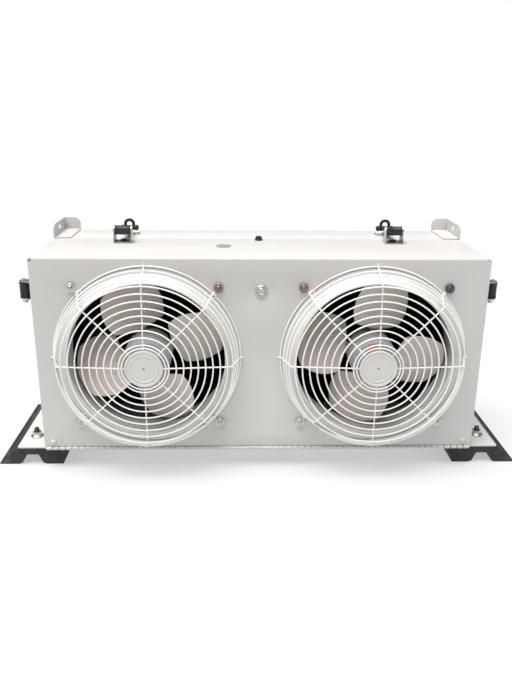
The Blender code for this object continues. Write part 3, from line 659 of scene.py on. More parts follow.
def folded_u(half, low, top, start, end, bend):
    """An upside-down U of sheet along Y, with round bends."""
    outer = [(half, low), *arc((half - bend, top - bend), bend, 0, 90, 6),
             *arc((-half + bend, top - bend), bend, 90, 90, 6), (-half, low)]
    inner_bend = max(bend - SHEET, 0.0006)
    inner_half, inner_top = half - SHEET, top - SHEET
    inner = [(-inner_half, low), *arc((-inner_half + inner_bend, inner_top - inner_bend), inner_bend,
                                      180, -90, 6),
             *arc((inner_half - inner_bend, inner_top - inner_bend), inner_bend, 90, -90, 6),
             (inner_half, low)]
    return plate(outer + inner, "XZ", start, end)


def relief_notch(sign, start, end):
    """The small corner cut that lets the sheet fold, between two depths."""
    across = sorted((sign * (HALF_W - 0.0062), sign * (HALF_W - 0.0008)))
    return block((across[0], start, TOP - 0.0060), (across[1], end, TOP + 0.005))


def case_shell(settings):
    """The fixed rear case and the hood cover with the lip its panel is fixed to."""
    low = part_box("rear_case")[0]
    bend = settings.bend
    rear = folded_u(HALF_W, low.z, TOP, low.y - 0.01, BACK, bend)
    rear = carved(rear, hood_share(SEAM))
    for _side, sign in SIDES:
        rear = carved(rear, relief_notch(sign, FRONT + HOOD_TOP_D - 0.001, FRONT + HOOD_TOP_D + 0.0055))
    rounded(rear, sharp_edges(rear, 60), settings.sheet_edge, 2)
    piece("rear_case_folded", rear, FINISHES["white_powder_coat"], CASE, ["rear_case"])

    hood_low, hood_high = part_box("hood_cover")
    hood = folded_u(HALF_W, hood_low.z, TOP, hood_low.y, hood_high.y + 0.05, bend)
    hood = carved(hood, hood_share(0.0), "INTERSECT")
    for _side, sign in SIDES:
        hood = carved(hood, relief_notch(sign, hood_low.y - 0.01, hood_low.y + 0.006))
    rounded(hood, sharp_edges(hood, 60), settings.sheet_edge, 2)
    inner = HALF_W - SHEET
    lip = plate([(-inner, hood_low.z), (inner, hood_low.z), (inner, TOP - SHEET), (-inner, TOP - SHEET)],
                "XZ", hood_low.y, hood_low.y + SHEET,
                [round_rectangle(-inner + 0.012, inner - 0.012, hood_low.z + 0.014, TOP - 0.014, 0.004)],
                settings.sheet_edge)
    for _side, sign in SIDES:
        lip = carved(lip, relief_notch(sign, hood_low.y - 0.01, hood_low.y + 0.01))
    piece("hood_cover_folded", together(hood, lip), FINISHES["white_powder_coat"], HOOD, ["hood_cover"])


def floor_pan(edge):
    """The shallow tray that closes the case from below."""
    low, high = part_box("floor_pan")
    bend = 0.003
    outer = [(high.x, high.z), *arc((high.x - bend, low.z + bend), bend, 0, -90, 4),
             *arc((low.x + bend, low.z + bend), bend, -90, -90, 4), (low.x, high.z)]
    inner_bend = bend - SHEET
    inner = [(low.x + SHEET, high.z),
             *arc((low.x + bend, low.z + bend), inner_bend, -180, 90, 4),
             *arc((high.x - bend, low.z + bend), inner_bend, -90, 90, 4), (high.x - SHEET, high.z)]
    shape = plate(outer + inner, "XZ", low.y, high.y)
    rounded(shape, sharp_edges(shape, 60), edge, 1)
    piece("floor_pan_folded", shape, FINISHES["white_powder_coat"], CASE, ["floor_pan"])


def rear_frame(edge):
    """The sheet round the core's rear face, with a window for the air and a hole for each port."""
    low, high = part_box("rear_frame")
    ports = [circle((middle(name).x, middle(name).z), 0.021, 48) for name in ("inlet_port", "outlet_port")]
    half_w, sill, head = 0.342, BASE_TOP + 0.0227, TOP - 0.0240
    window = round_rectangle(-half_w, half_w, sill, head, 0.010)
    shape = plate(round_rectangle(low.x, high.x, low.z, high.z, 0.002, 2), "XZ", low.y, high.y,
                  [window, *ports], edge)
    piece("rear_frame_punched", shape, FINISHES["white_powder_coat"], CASE, ["rear_frame"])


def dome(place, way, radius, height, base=0.0003):
    """A low rivet or screw head standing on a face."""
    profile = [(0.0, 0.0), (radius, 0.0), (radius, base)]
    profile += [(radius * math.cos(a), base + (height - base) * math.sin(a))
                for a in (math.radians(15 * i) for i in range(1, 6))]
    profile += [(0.0, height)]
    return turned(profile, place, way, 24)


def rivets():
    """Blind rivets that hold the folded sheets and the brackets."""
    lift = 0.00005  # so that a head doesn't share the sheet's plane
    first, last = BASE_TOP + 0.020, TOP - 0.030
    upright = [(BACK - 0.012, first + i * (last - first) / 4) for i in range(5)]
    along_base = [(FRONT + depth, BASE_TOP + 0.014) for depth in (0.10, 0.17)]
    places = [(Vector((sign * (HALF_W + lift), y, z)), X * sign)
              for _side, sign in SIDES for y, z in upright + along_base]
    places += [(Vector((-0.33 + i * 0.11, BACK - 0.010, TOP + lift)), Z) for i in range(7)]
    heads = [dome(place, way, 0.0032, 0.0013) for place, way in places]
    piece("case_rivets", together(*heads), FINISHES["white_powder_coat"], CASE)


def corner_brackets(edge):
    """Upright angles on the rear top corners: base, slotted outer flange, round-cornered back flange."""
    for side, sign in SIDES:
        name = f"{side}_corner_bracket"
        low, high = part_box(name)
        thick = 0.0025
        foot = block(low, (high.x, high.y, low.z + thick), edge)
        outer = sign * HALF_W
        slot_z = low.z + 0.016
        span = (low.y + high.y) / 2
        slot = [*arc((span + 0.006, slot_z), 0.004, -90, 180, 8),
                *arc((span - 0.006, slot_z), 0.004, 90, 180, 8)]
        ends = sorted((outer, outer - sign * thick))
        corner = 0.010
        flange = [(low.y, low.z), (high.y, low.z), (high.y, high.z),
                  *arc((low.y + corner, high.z - corner), corner, 90, 90, 6)]
        flange = plate(flange, "YZ", *ends, [slot], edge)
        inner = low.x if sign > 0 else high.x
        radius = 0.014
        back = [(outer, low.z), (outer, high.z)]
        bow = arc((inner + sign * radius, high.z - radius), radius, 90, 90 if sign > 0 else -90, 8)
        back = plate([*back, *bow, (inner, low.z)], "XZ", high.y - thick, high.y, edge=edge)
        bolts = []
        for depth in (0.022, 0.082):
            place = Vector((inner + sign * 0.013, low.y + depth, low.z + thick))
            bolts.append(dome(place, Z, 0.0042, 0.0018))
        piece(name + "_folded", together(foot, flange, back, *bolts), FINISHES["white_powder_coat"], CASE,
              [name])


# ---------------------------------------------------------------- oil side
def cooler_core(pitch):
    """Flat tube bars with folded fins between them, closed by a side plate above and below."""
    low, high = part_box("cooler_core")
    layers = 26
    bar = 0.0030
    step = (high.z - low.z - bar) / layers
    bars = [block((low.x, low.y, low.z + i * step), (high.x, high.y, low.z + i * step + bar), 0.0004, 1)
            for i in range(layers + 1)]
    folds = int((high.x - low.x - 0.006) / pitch * 2)
    fins = bmesh.new()
    rise = step - bar
    corners = [
        fins.verts.new((low.x + 0.003 + i * pitch / 2, low.y + 0.001, low.z + bar + (rise if i % 2 else 0)))
        for i in range(folds)
    ]
    for first, second in zip(corners, corners[1:]):
        fins.edges.new((first, second))
    made = bmesh.ops.extrude_edge_only(fins, edges=fins.edges[:])["geom"]
    bmesh.ops.translate(fins, verts=[v for v in made if isinstance(v, bmesh.types.BMVert)],
                        vec=(0, high.y - low.y - 0.002, 0))
    bmesh.ops.recalc_face_normals(fins, faces=fins.faces)
    bmesh.ops.solidify(fins, geom=fins.faces[:], thickness=0.00025)
    strip = fins.verts[:] + fins.edges[:] + fins.faces[:]
    for i in range(1, layers):
        copy = bmesh.ops.duplicate(fins, geom=strip)["geom"]
        bmesh.ops.translate(fins, verts=[v for v in copy if isinstance(v, bmesh.types.BMVert)],
                            vec=(0, 0, i * step))
    piece("cooler_core_finned", together(*bars, fins), FINISHES["black_core_paint"], CASE, ["cooler_core"],
          degrees=20)


def tanks_and_ports():
    """A welded tank at each end of the core, with a threaded port at the back."""
    for (side, _sign), port in zip(SIDES, ("inlet_port", "outlet_port")):
        low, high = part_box(f"{side}_tank")
        tank = block(low, high, 0.006, 4)
        piece(f"{side}_tank_welded", tank, FINISHES["black_core_paint"], CASE, [f"{side}_tank"])
        start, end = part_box(port)
        centre = middle(port)
        face, root, bore = end.y, start.y, 0.012
        profile = [(bore, root), (0.0200, root), (0.0200, root + 0.004), (0.0186, root + 0.005),
                   (0.0186, face - 0.0075), (0.0200, face - 0.0065), (0.0200, face - 0.0012),
                   (0.0188, face), (0.0135, face)]
        teeth = 12
        pitch = (face - root - 0.004) / teeth
        for i in range(teeth):
            profile += [(bore + 0.0010, face - 0.0015 - i * pitch), (bore, face - 0.0015 - (i + 0.5) * pitch)]
        shape = turned(profile, (centre.x, 0, centre.z), Y, 64, closed=True)
        hexed = hexagon((centre.x, 0, centre.z), Y, face - 0.018, face - 0.008, 0.0199)
        hole = rod((centre.x, root, centre.z), (centre.x, face, centre.z), 0.0180)
        piece(port + "_threaded", together(shape, carved(hexed, hole)), FINISHES["bright_steel"], CASE,
              [port])


# ---------------------------------------------------------------- hood: panel and its screws
SCREW_SPAN = 0.1375  # from a fan's centre to its guard's screws, along X and Z
COLLAR_HOLE_R = 0.161
SCREW_FINISHES = {  # the others are zinc plated
    "left_guard_screw_inner_upper": "yellow_zinc",
    "right_guard_screw_inner_upper": "yellow_zinc",
    "right_guard_screw_outer_upper": "blued_steel",
}


def front_panel(edge):
    """The panel with a hole for each collar and one for the quarter-turn screw."""
    low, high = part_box("front_panel")
    holes = [circle((fan_centre(side).x, FAN_Z), COLLAR_HOLE_R, 128) for side, _sign in SIDES]
    fastener = middle("centre_fastener")
    holes.append(circle((fastener.x, fastener.z), 0.0048, 24))
    outline = round_rectangle(low.x, high.x, low.z, high.z, 0.0018, 3)
    shape = plate(outline, "XZ", low.y, high.y, holes, edge, 3)
    for _side, sign in SIDES:
        shape = carved(shape, relief_notch(sign, low.y - 0.01, high.y + 0.01))
    piece("front_panel_painted", shape, FINISHES["white_powder_coat"], HOOD, ["front_panel"])


def slotted_screw(place, radius, head, drive):
    """A washer with a pan head on it, seen from the front; drive is the turn of its slot."""
    place = Vector(place)
    washer = turned([(0.0030, 0.0), (radius, 0.0), (radius, 0.0010), (radius - 0.0005, 0.0015),
                     (0.0030, 0.0015)], place, -Y, 48, closed=True)
    cap = turned([(0.0, 0.0012), (head, 0.0012), (head, 0.0024), (head * 0.92, 0.0036),
                  (head * 0.70, 0.0045), (0.0, 0.0048)], place, -Y, 40)
    turn = Matrix.Translation(place) @ Matrix.Rotation(drive, 4, "Y")
    slot = placed(block((-head, -0.0062, -0.0007), (head, -0.0032, 0.0007)), turn)
    cross = placed(block((-0.0007, -0.0062, -head * 0.62), (0.0007, -0.0032, head * 0.62)), turn)
    return together(washer, carved(carved(cap, slot), cross))


def panel_screws():
    """Four screws at each guard's eyes, on top of the wire, and a domed one in each lower corner."""
    for side, sign in SIDES:
        centre = fan_centre(side)
        for across in (-1, 1):
            for up in (-1, 1):
                place = (centre.x + across * SCREW_SPAN, FRONT - 0.0034, centre.z + up * SCREW_SPAN)
                drive = math.radians(35 + 50 * across + 20 * up)
                label = f"{side}_guard_screw_{'outer' if across == sign else 'inner'}"
                label += "_upper" if up > 0 else "_lower"
                piece(label, slotted_screw(place, 0.0092, 0.0058, drive),
                      FINISHES[SCREW_FINISHES.get(label, "zinc_plate")], HOOD)
    corner = Vector((0.4125, FRONT - 0.00005, BASE_TOP + 0.0185))
    heads = [dome((sign * corner.x, corner.y, corner.z), -Y, 0.0062, 0.0040) for _side, sign in SIDES]
    piece("panel_dome_screws", together(*heads), FINISHES["white_powder_coat"], HOOD)


def centre_fastener():
    """The quarter-turn screw: a dished cup, and a slotted stud that turns in it."""
    centre = middle("centre_fastener")
    place = Vector((centre.x, FRONT, centre.z))
    cup = turned([(0.0050, 0.0003), (0.0118, 0.0003), (0.0120, 0.0012), (0.0112, 0.0022), (0.0092, 0.0024),
                  (0.0086, 0.0012), (0.0050, 0.0010)], place, -Y, 64, closed=True)
    stud = turned([(0.0, -0.0135), (0.0036, -0.0135), (0.0038, -0.0120), (0.0038, 0.0008), (0.0078, 0.0008),
                   (0.0078, 0.0022), (0.0070, 0.0032), (0.0, 0.0034)], place, -Y, 48)
    slot = block((place.x - 0.009, place.y - 0.006, place.z - 0.0010),
                 (place.x + 0.009, place.y - 0.0018, place.z + 0.0010))
    piece("centre_fastener_turned", together(cup, carved(stud, slot)), FINISHES["zinc_plate"], "centre_screw",
          ["centre_fastener"])


# ---------------------------------------------------------------- fan rings and guards
def fan_rings():
    """The collar round each opening: flange, flared rise, rolled lip and the throat behind it."""
    for side, _sign in SIDES:
        low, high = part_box(f"{side}_fan_ring")
        centre = fan_centre(side)
        lip, end, flange = low.y - FRONT, high.y - FRONT, (high.x - low.x) / 2
        rise = [(0.1662, -0.0018), (0.1648, -0.0024), (0.1626, -0.0050), (0.1596, -0.0098),
                (0.1566, -0.0150), (0.1542, -0.0192), (0.1526, -0.0218)]
        under = [(r - 0.0011, depth + 0.0011) for r, depth in reversed(rise[1:])]
        profile = [(flange, -0.0014), (flange - 0.0004, -0.0018), *rise,
                   *arc((0.1508, lip + 0.0018), 0.0018, -36, -144, 8),
                   (0.1490, lip + 0.0065), (THROAT_R, -0.0020), (THROAT_R, end - 0.0005),
                   (THROAT_R + 0.0007, end), (THROAT_R + 0.0014, end - 0.0005),
                   (THROAT_R + 0.0014, -0.0022), (0.1504, lip + 0.0060), *under,
                   (0.1640, -HAIR), (flange, -HAIR)]
        shape = turned(profile, centre, Y, 144, closed=True)
        piece(f"{side}_fan_ring_spun", shape, FINISHES["ring_paint"], HOOD, [f"{side}_fan_ring"])


def wire_ring(centre, radius, depth, wire, steps=120, sides=10):
    """A closed wire ring round the fan's axis, its depth counted from the panel's front face."""
    profile = [(radius + a, depth + b) for a, b in circle((0, 0), wire, sides)]
    return turned(profile, centre, Y, steps, closed=True)


DISC_R = 0.0357
CORNER_R, FOOT_R = 0.1630, 0.1790
CONE = 0.075  # how much a guard's front falls back, per metre of radius
WALL_SHARES = (0.12, 0.40, 0.69, 1.0)  # how far down the wall its rings lie


def guards(settings):
    """The wire guards: coned front rings, rings down the wall, spokes and the motor's disc."""
    wire = settings.wire
    for side, _sign in SIDES:
        centre = fan_centre(side)
        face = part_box(f"{side}_guard")[0].y - FRONT
        foot = -wire - HAIR

        def front(radius):
            """The depth of the coned front's wires at a radius."""
            return face + wire + CONE * (radius - DISC_R)

        shapes = [wire_ring(centre, 0.0405, front(0.0405), wire)]
        for index in range(settings.front_rings):
            radius = 0.0465 + index * settings.ring_pitch
            shapes.append(wire_ring(centre, radius, front(radius), wire))
        for share in WALL_SHARES:
            depth = front(CORNER_R) + (foot - front(CORNER_R)) * share
            shapes.append(wire_ring(centre, CORNER_R + (FOOT_R - CORNER_R) * share, depth, wire, 144))
        shapes += [guard_spoke(centre, index, wire, front, foot) for index in range(8)]
        piece(f"{side}_guard_wires", together(*shapes), FINISHES["white_wire"], HOOD, [f"{side}_guard"],
              degrees=60)
        guard_disc(side, centre, face)


def guard_spoke(centre, index, wire, front, foot):
    """A spoke behind the front rings that bends down the wall; every other one ends in an eye."""
    angle = FULL_TURN * index / 8
    outward = Vector((math.cos(angle), 0, math.sin(angle)))
    bend, back, begin = 0.006, 1.8 * wire, 0.034
    cone, slope = math.atan(CONE), math.atan2(foot - front(CORNER_R) - back, FOOT_R - CORNER_R)
    corner = CORNER_R - 0.0012
    trims = [bend * math.tan((slope - cone) / 2), bend * math.tan(slope / 2)]
    hinge = outward.cross(Y)
    way = outward * math.cos(cone) + Y * math.sin(cone)
    run = (corner - begin) / math.cos(cone) - trims[0]
    fall = math.hypot(FOOT_R - corner, foot - front(CORNER_R) - back) - sum(trims)
    moves = [("go", run), ("turn", hinge, bend, slope - cone), ("go", fall), ("turn", -hinge, bend, slope)]
    if index % 2:
        loop = 0.0042
        reach = SCREW_SPAN * math.sqrt(2) - FOOT_R - trims[1] - 2 * loop
        moves += [("go", max(reach, 0.001)), ("turn", Y, loop, -math.radians(90)),
                  ("turn", -Y, loop, -math.radians(320))]
    else:
        moves += [("go", 0.002)]
    start = centre + outward * begin + Y * (front(begin) + back)
    return sweep(start, way, moves, wire, 10)


def guard_disc(side, centre, face):
    """The pressed plate that carries the motor: rolled rim, raised ring, small hole in the middle."""
    profile = [(0.0019, face + 0.0030), (DISC_R - 0.0012, face + 0.0030), (DISC_R, face + 0.0022),
               (DISC_R, face + 0.0012), (DISC_R - 0.0008, face + 0.0003), (DISC_R - 0.0022, face),
               (0.0318, face + 0.0001), (0.0306, face + 0.0012), (0.0282, face + 0.0013),
               (0.0270, face + 0.0005), (0.0258, face + 0.0003), (0.0246, face + 0.0012),
               (0.0026, face + 0.0012), (0.0019, face + 0.0018)]
    piece(f"{side}_guard_disc", turned(profile, centre, Y, 96, closed=True), FINISHES["ring_paint"], HOOD)


# ---------------------------------------------------------------- motors and fans
TAG_R = 0.0410  # outer radius of the orange tag on the right motor's flange


def motors():
    """The fixed half of each motor: flange, housing and shaft; the right one has an orange tag."""
    for side, _sign in SIDES:
        low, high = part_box(f"{side}_motor")
        centre = fan_centre(side)
        start, end = low.y - FRONT, high.y - FRONT
        body = start + 0.018
        profile = [(0.0, start), (0.0330, start), (0.0340, start + 0.001), (0.0340, start + 0.006),
                   (0.0322, start + 0.008), (0.0322, body - 0.003), (0.0300, body), (0.0050, body),
                   (0.0050, end - 0.001), (0.0040, end), (0.0, end)]
        piece(f"{side}_motor_housing", turned(profile, centre, Y, 64), FINISHES["motor_paint"], HOOD,
              [f"{side}_motor"])
    tag = [*arc((0, 0), TAG_R, 97, 33, 12), *reversed(arc((0, 0), 0.0342, 97, 33, 12))]
    tag = placed(plate(tag, "XZ", start + 0.0062, start + 0.0067, edge=0.0001), Matrix.Translation(centre))
    piece("right_motor_tag", tag, FINISHES["orange_tag"], HOOD)


BLADE_PITCH = math.radians(22)
BLADE_DEPTH = 0.031
BLADE_ROOT, BLADE_TIP, BLADE_HALF_W = 0.050, 0.148, 0.061
# A blade's rivets: along it, across it, and about which share of its half width that is.
RIVETS = ((0.0635, 0.0, 0.0), (0.0800, 0.0200, 0.33), (0.0800, -0.0200, -0.33))
PHASES = {"left": math.radians(18), "right": math.radians(-11)}


def blade_frame(side, index):
    """From a blade's own plane (span along +X, thickness along Z) to its place on the hub."""
    spin = Matrix.Rotation(-(PHASES[side] + FULL_TURN * index / 4), 4, "Y")
    lift = Matrix.Translation((0, BLADE_DEPTH, 0))
    tilt = Matrix.Rotation(math.pi / 2, 4, "X") @ Matrix.Rotation(BLADE_PITCH, 4, "X")
    return Matrix.Translation(fan_centre(side)) @ spin @ lift @ tilt


def bow(camber, across):
    """How far a blade stands out of its plane at a share of its half width."""
    return camber * (1 - across * across)


def blade_shape(camber):
    """A broad square-shouldered paddle: round corners, bowed across its width, its tip along the ring."""
    shape = bmesh.new()
    bmesh.ops.create_grid(shape, x_segments=20, y_segments=20, size=1.0)
    corner = 0.30
    for vertex in shape.verts:
        u, v = vertex.co.x, vertex.co.y
        u, v = u * math.sqrt(1 - corner * v * v), v * math.sqrt(1 - corner * u * u)
        across = v * BLADE_HALF_W
        tip = math.sqrt(BLADE_TIP ** 2 - across ** 2)
        vertex.co = (BLADE_ROOT + (tip - BLADE_ROOT) * (u + 1) / 2, across, bow(camber, v))
    bmesh.ops.recalc_face_normals(shape, faces=shape.faces)
    bmesh.ops.solidify(shape, geom=shape.faces[:], thickness=0.0014)
    bmesh.ops.recalc_face_normals(shape, faces=shape.faces)
    return rounded(shape, sharp_edges(shape, 60), 0.0004, 1)


def fans(settings):
    """Four blades with three rivets each, riveted to the arms of each hub."""
    for (side, _sign), first in zip(SIDES, (0, 3)):
        body = f"{side}_fan"
        for index in range(4):
            place = blade_frame(side, index)
            name = f"{side}_fan_blade_{index + 1}"
            # each blade's paint carries painted light and shade for where it sits with the fan at rest
            tint_and_shade = FINISHES[f"blade_paint_{(index + first) % 4 + 1}"]
            piece(name + "_pressed", placed(blade_shape(settings.blade_camber), place), tint_and_shade, body, [name],
                  degrees=50)
            heads = [dome((x, y, bow(settings.blade_camber, share) - 0.0004), Z, 0.0034, 0.0022)
                     for x, y, share in RIVETS]
            piece(f"{side}_fan_rivets_{index + 1}", placed(together(*heads), place), FINISHES["bright_steel"],
                  body)
        fan_hub(side, body)


def fan_hub(side, body):
    """The motor's turning can with a ribbed shoulder, and the spider arms that the blades are riveted to."""
    low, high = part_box(f"{side}_fan_hub")
    centre = fan_centre(side)
    start, end = low.y - FRONT, high.y - FRONT
    radius = 0.045
    profile = [(0.0060, start), (radius - 0.003, start), (radius - 0.0008, start + 0.001),
               (radius, start + 0.004)]
    ribs = 6
    pitch = (end - start - 0.020) / ribs
    for i in range(ribs):
        first = start + 0.008 + i * pitch
        last = first + pitch * 0.4
        profile += [(radius, first), (radius - 0.0012, first + 0.0008), (radius - 0.0012, last),
                    (radius, last + 0.0008)]
    profile += [(radius, end - 0.005), (radius - 0.002, end - 0.001), (radius - 0.006, end), (0.012, end),
                (0.012, end - 0.0058), (0.0060, end - 0.0060)]
    can = turned(profile, centre, Y, 72, closed=True)
    arms = []
    for index in range(4):
        outline = [(radius - 0.006, -0.011), (0.0580, -0.012), (0.0760, -0.027), (0.0870, -0.026),
                   (0.0880, 0.0), (0.0870, 0.026), (0.0760, 0.027), (0.0580, 0.012), (radius - 0.006, 0.011)]
        arm = plate(outline, "XY", -0.0036, -0.0012, edge=0.0005)
        arms.append(placed(arm, blade_frame(side, index)))
    piece(f"{side}_fan_hub_spider", together(can, *arms), FINISHES["motor_paint"], body, [f"{side}_fan_hub"])


# ---------------------------------------------------------------- latches
AXIS_LIFT = 0.025
REACH = 0.092
BAR_LIFT = 0.014


def latch_places():
    """Each latch's frame: X along its pin, +Y back over the seam, Z out of the sheet."""
    top_pin, side_pin = middle("right_top_latch_pin"), middle("right_side_latch_pin")
    top_x = middle("right_top_keeper").x
    quarter = math.pi / 2
    return {
        "left_top_latch": (Matrix.Translation((-top_x, top_pin.y, TOP)), -1),
        "right_top_latch": (Matrix.Translation((top_x, top_pin.y, TOP)), 1),
        "left_side_latch": (Matrix.Translation((-HALF_W, side_pin.y, middle("left_side_keeper").z))
                            @ Matrix.Rotation(-quarter, 4, "Y"), 1),
        "right_side_latch": (Matrix.Translation((HALF_W, side_pin.y, middle("right_side_keeper").z))
                             @ Matrix.Rotation(quarter, 4, "Y"), -1),
    }


def latch_bracket():
    """A folded zinc bracket: base with bent-up ears, each ear narrowing to a round top about the pin."""
    half, thick, base = 0.018, 0.002, 0.016
    foot = plate(round_rectangle(-half + 0.001, half - 0.001, -base, base, 0.002, 3), "XY", HAIR,
                 HAIR + thick, edge=0.0004)
    ear = [(-base, 0.0016), (base, 0.0016), (base, 0.005),
           *arc((0, AXIS_LIFT), 0.0092, -12, 204, 14), (-base, 0.005)]
    ears = [plate(ear, "YZ", *sorted((sign * half, sign * (half - thick))),
                  [circle((0, AXIS_LIFT), 0.0033, 24)], 0.0004) for sign in (-1, 1)]
    return together(foot, *ears)


def strap_shape():
    """Moulded rubber in one: barrel with end beads, tapering arm, cross bar with round ends, pull loop."""
    inside = 0.0154
    profile = [(0.0034, -inside), (0.0088, -inside), (0.0097, -inside + 0.0010), (0.0097, -inside + 0.0024),
               (0.0091, -inside + 0.0034), (0.0091, inside - 0.0034), (0.0097, inside - 0.0024),
               (0.0097, inside - 0.0010), (0.0088, inside), (0.0034, inside)]
    barrel = turned(profile, (0, 0, AXIS_LIFT), X, 48, closed=True)
    drop = BAR_LIFT - AXIS_LIFT
    slope = math.atan2(drop, REACH)
    arm = block((-0.0085, 0.0075, -0.0025), (0.0085, math.hypot(REACH, drop), 0.0025), 0.0016, 3)
    tilt = Matrix.Translation((0, 0, AXIS_LIFT)) @ Matrix.Rotation(slope, 4, "X")
    ribs = [block((-0.0060, along, 0.0022), (0.0060, along + 0.0022, 0.0032), 0.0004, 1)
            for along in (0.030 + 0.006 * i for i in range(6))]
    arm = placed(together(arm, *ribs), tilt)
    ends = 0.020
    bar = [(0.0, -ends)] + [(0.0062 * math.sin(a), -ends + 0.005 - 0.005 * math.cos(a))
                            for a in (math.radians(18 * i) for i in range(1, 6))]
    bar += [(0.0052, -ends + 0.0075), (0.0052, ends - 0.0075)]
    bar += [(r, -h) for r, h in reversed(bar[:6])]
    bar = turned(bar, (0, REACH, BAR_LIFT), X, 32)
    loop = sweep((-0.0088, REACH + 0.0005, BAR_LIFT), Z, [
        ("go", 0.008), ("turn", Y, 0.0088, math.pi), ("go", 0.008)], 0.0033, 14)
    return together(barrel, arm, bar, loop)


def keeper_shape():
    """A low zinc catch: riveted base with a rolled lip in front of the cross bar."""
    outline = [(-0.0100, HAIR), (0.0140, HAIR), (0.0140, 0.0020), (-0.0072, 0.0020), (-0.0080, 0.0028),
               (-0.0080, 0.0066), (-0.0086, 0.0070), (-0.0094, 0.0070), (-0.0100, 0.0064)]
    base = plate(outline, "YZ", -0.020, 0.020, edge=0.0003)
    heads = [dome((x, 0.009, 0.0019), Z, 0.0026, 0.0011) for x in (-0.013, 0.013)]
    keeper = together(base, *heads)
    bmesh.ops.translate(keeper, verts=keeper.verts, vec=(0, REACH, 0))
    return keeper


def latches():
    """Bracket, base screw, pin, strap and keeper of each latch; side pins have a round head below."""
    for name, (place, outboard) in latch_places().items():
        piece(f"{name}_bracket_folded", placed(latch_bracket(), place), FINISHES["zinc_plate"], HOOD,
              [f"{name}_bracket"])
        screw = turned([(0.0, 0.0023), (0.0062, 0.0023), (0.0062, 0.0050), (0.0054, 0.0062), (0.0, 0.0064)],
                       (0, 0.0020, 0), Z, 32)
        hexed = rod((0, 0.0020, 0.0045), (0, 0.0020, 0.0075), 0.0028, sides=6)
        piece(f"{name}_base_screw", placed(carved(screw, hexed), place), FINISHES["dark_steel"], HOOD)
        ends = sorted((-outboard * 0.0195, outboard * 0.0215))
        pin = rod((ends[0], 0, AXIS_LIFT), (ends[1], 0, AXIS_LIFT), 0.0030, 0.0007, 32)
        collar = turned([(0.0031, 0.0183), (0.0050, 0.0183), (0.0050, 0.0196), (0.0043, 0.0200),
                         (0.0031, 0.0200)], (0, 0, AXIS_LIFT), X * outboard, 32, closed=True)
        parts = [pin, collar]
        if "side" in name:
            parts.append(turned([(0.0, 0.0183), (0.0054, 0.0183), (0.0054, 0.0240), (0.0046, 0.0256),
                                 (0.0, 0.0260)], (0, 0, AXIS_LIFT), -X * outboard, 32))
        piece(f"{name}_pin_turned", placed(together(*parts), place), FINISHES["zinc_plate"], HOOD,
              [f"{name}_pin"])
        piece(f"{name}_strap_moulded", placed(strap_shape(), place), FINISHES["black_rubber"],
              f"{name}_rubber", [f"{name}_strap"], degrees=45)
        keeper = name.replace("latch", "keeper")
        piece(f"{keeper}_folded", placed(keeper_shape(), place), FINISHES["zinc_plate"], CASE, [keeper])


# ---------------------------------------------------------------- piano hinge
def piano_hinge():
    """Two leaves whose rolled knuckles alternate along the pin."""
    low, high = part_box("hinge_pin")
    axis = middle("hinge_pin")
    radius, hair = 0.0035, 0.0009
    count = 66
    left = -HALF_W + 0.002
    pitch = -2 * left / count

    def rolled(start):
        """One knuckle, from its place along the pin."""
        first, last = start + hair, start + pitch - hair
        bore, rim = 0.0018, 0.0004
        return turned([(bore, first), (radius - rim, first), (radius, first + rim), (radius, last - rim),
                       (radius - rim, last), (bore, last)], (0, axis.y, axis.z), X, 20, closed=True)

    fixed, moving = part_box("hinge_leaf_fixed"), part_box("hinge_leaf_moving")
    knuckles = [rolled(left + i * pitch) for i in range(count)]
    leaf = block((left, axis.y + 0.0042, axis.z - 0.0033), (-left, fixed[1].y, axis.z - 0.0023), 0.0002, 1)
    tongues = [block((left + i * pitch + 2 * hair, axis.y, axis.z - 0.0032),
                     (left + (i + 1) * pitch - 2 * hair, axis.y + 0.0045, axis.z - 0.0024))
               for i in range(0, count, 2)]
    piece("hinge_leaf_fixed_rolled", together(*knuckles[0::2], leaf, *tongues), FINISHES["white_powder_coat"],
          CASE, ["hinge_leaf_fixed"])
    panel_back = FRONT + SHEET + HAIR
    leaf = block((left, panel_back, axis.z + 0.0042), (-left, panel_back + 0.001, moving[1].z), 0.0002, 1)
    tongues = [block((left + i * pitch + 2 * hair, panel_back + 0.0001, axis.z),
                     (left + (i + 1) * pitch - 2 * hair, panel_back + 0.0009, axis.z + 0.0045))
               for i in range(1, count, 2)]
    piece("hinge_leaf_moving_rolled", together(*knuckles[1::2], leaf, *tongues),
          FINISHES["white_powder_coat"], HOOD, ["hinge_leaf_moving"])
    pin = rod((low.x, axis.y, axis.z), (high.x, axis.y, axis.z), 0.0014, 0.0003, 20)
    piece("hinge_pin_drawn", pin, FINISHES["bright_steel"], CASE, ["hinge_pin"])


# ---------------------------------------------------------------- top fittings
def top_fittings():
    """A small black knob near the seam and a flat grey plug in the hood's top."""
    knob_place = (0, FRONT + 0.188, TOP + 0.0001)
    plug_place = (-0.072, FRONT + 0.122, TOP + 0.0001)
    knob = turned([(0.0, 0.0), (0.0085, 0.0), (0.0085, 0.0018), (0.0070, 0.0026), (0.0064, 0.0068),
                   (0.0052, 0.0082), (0.0, 0.0086)], knob_place, Z, 40)
    piece("hood_knob", knob, FINISHES["black_rubber"], HOOD)
    plug = turned([(0.0, 0.0), (0.0150, 0.0), (0.0150, 0.0008), (0.0138, 0.0014), (0.0110, 0.0014),
                   (0.0102, 0.0008), (0.0, 0.0008)], plug_place, Z, 48)
    piece("hood_plug", plug, FINISHES["plug_grey"], HOOD)


# ---------------------------------------------------------------- stage
LENS = 37.33
CAMERA_PLACE = (-0.0460, -1.2848, 0.6732)  # from the panel's foot: across, in front of it and above
CAMERA_YAW, CAMERA_PITCH, CAMERA_ROLL = 1.648, 18.986, 0.518  # degrees: to the right, down, and tilt


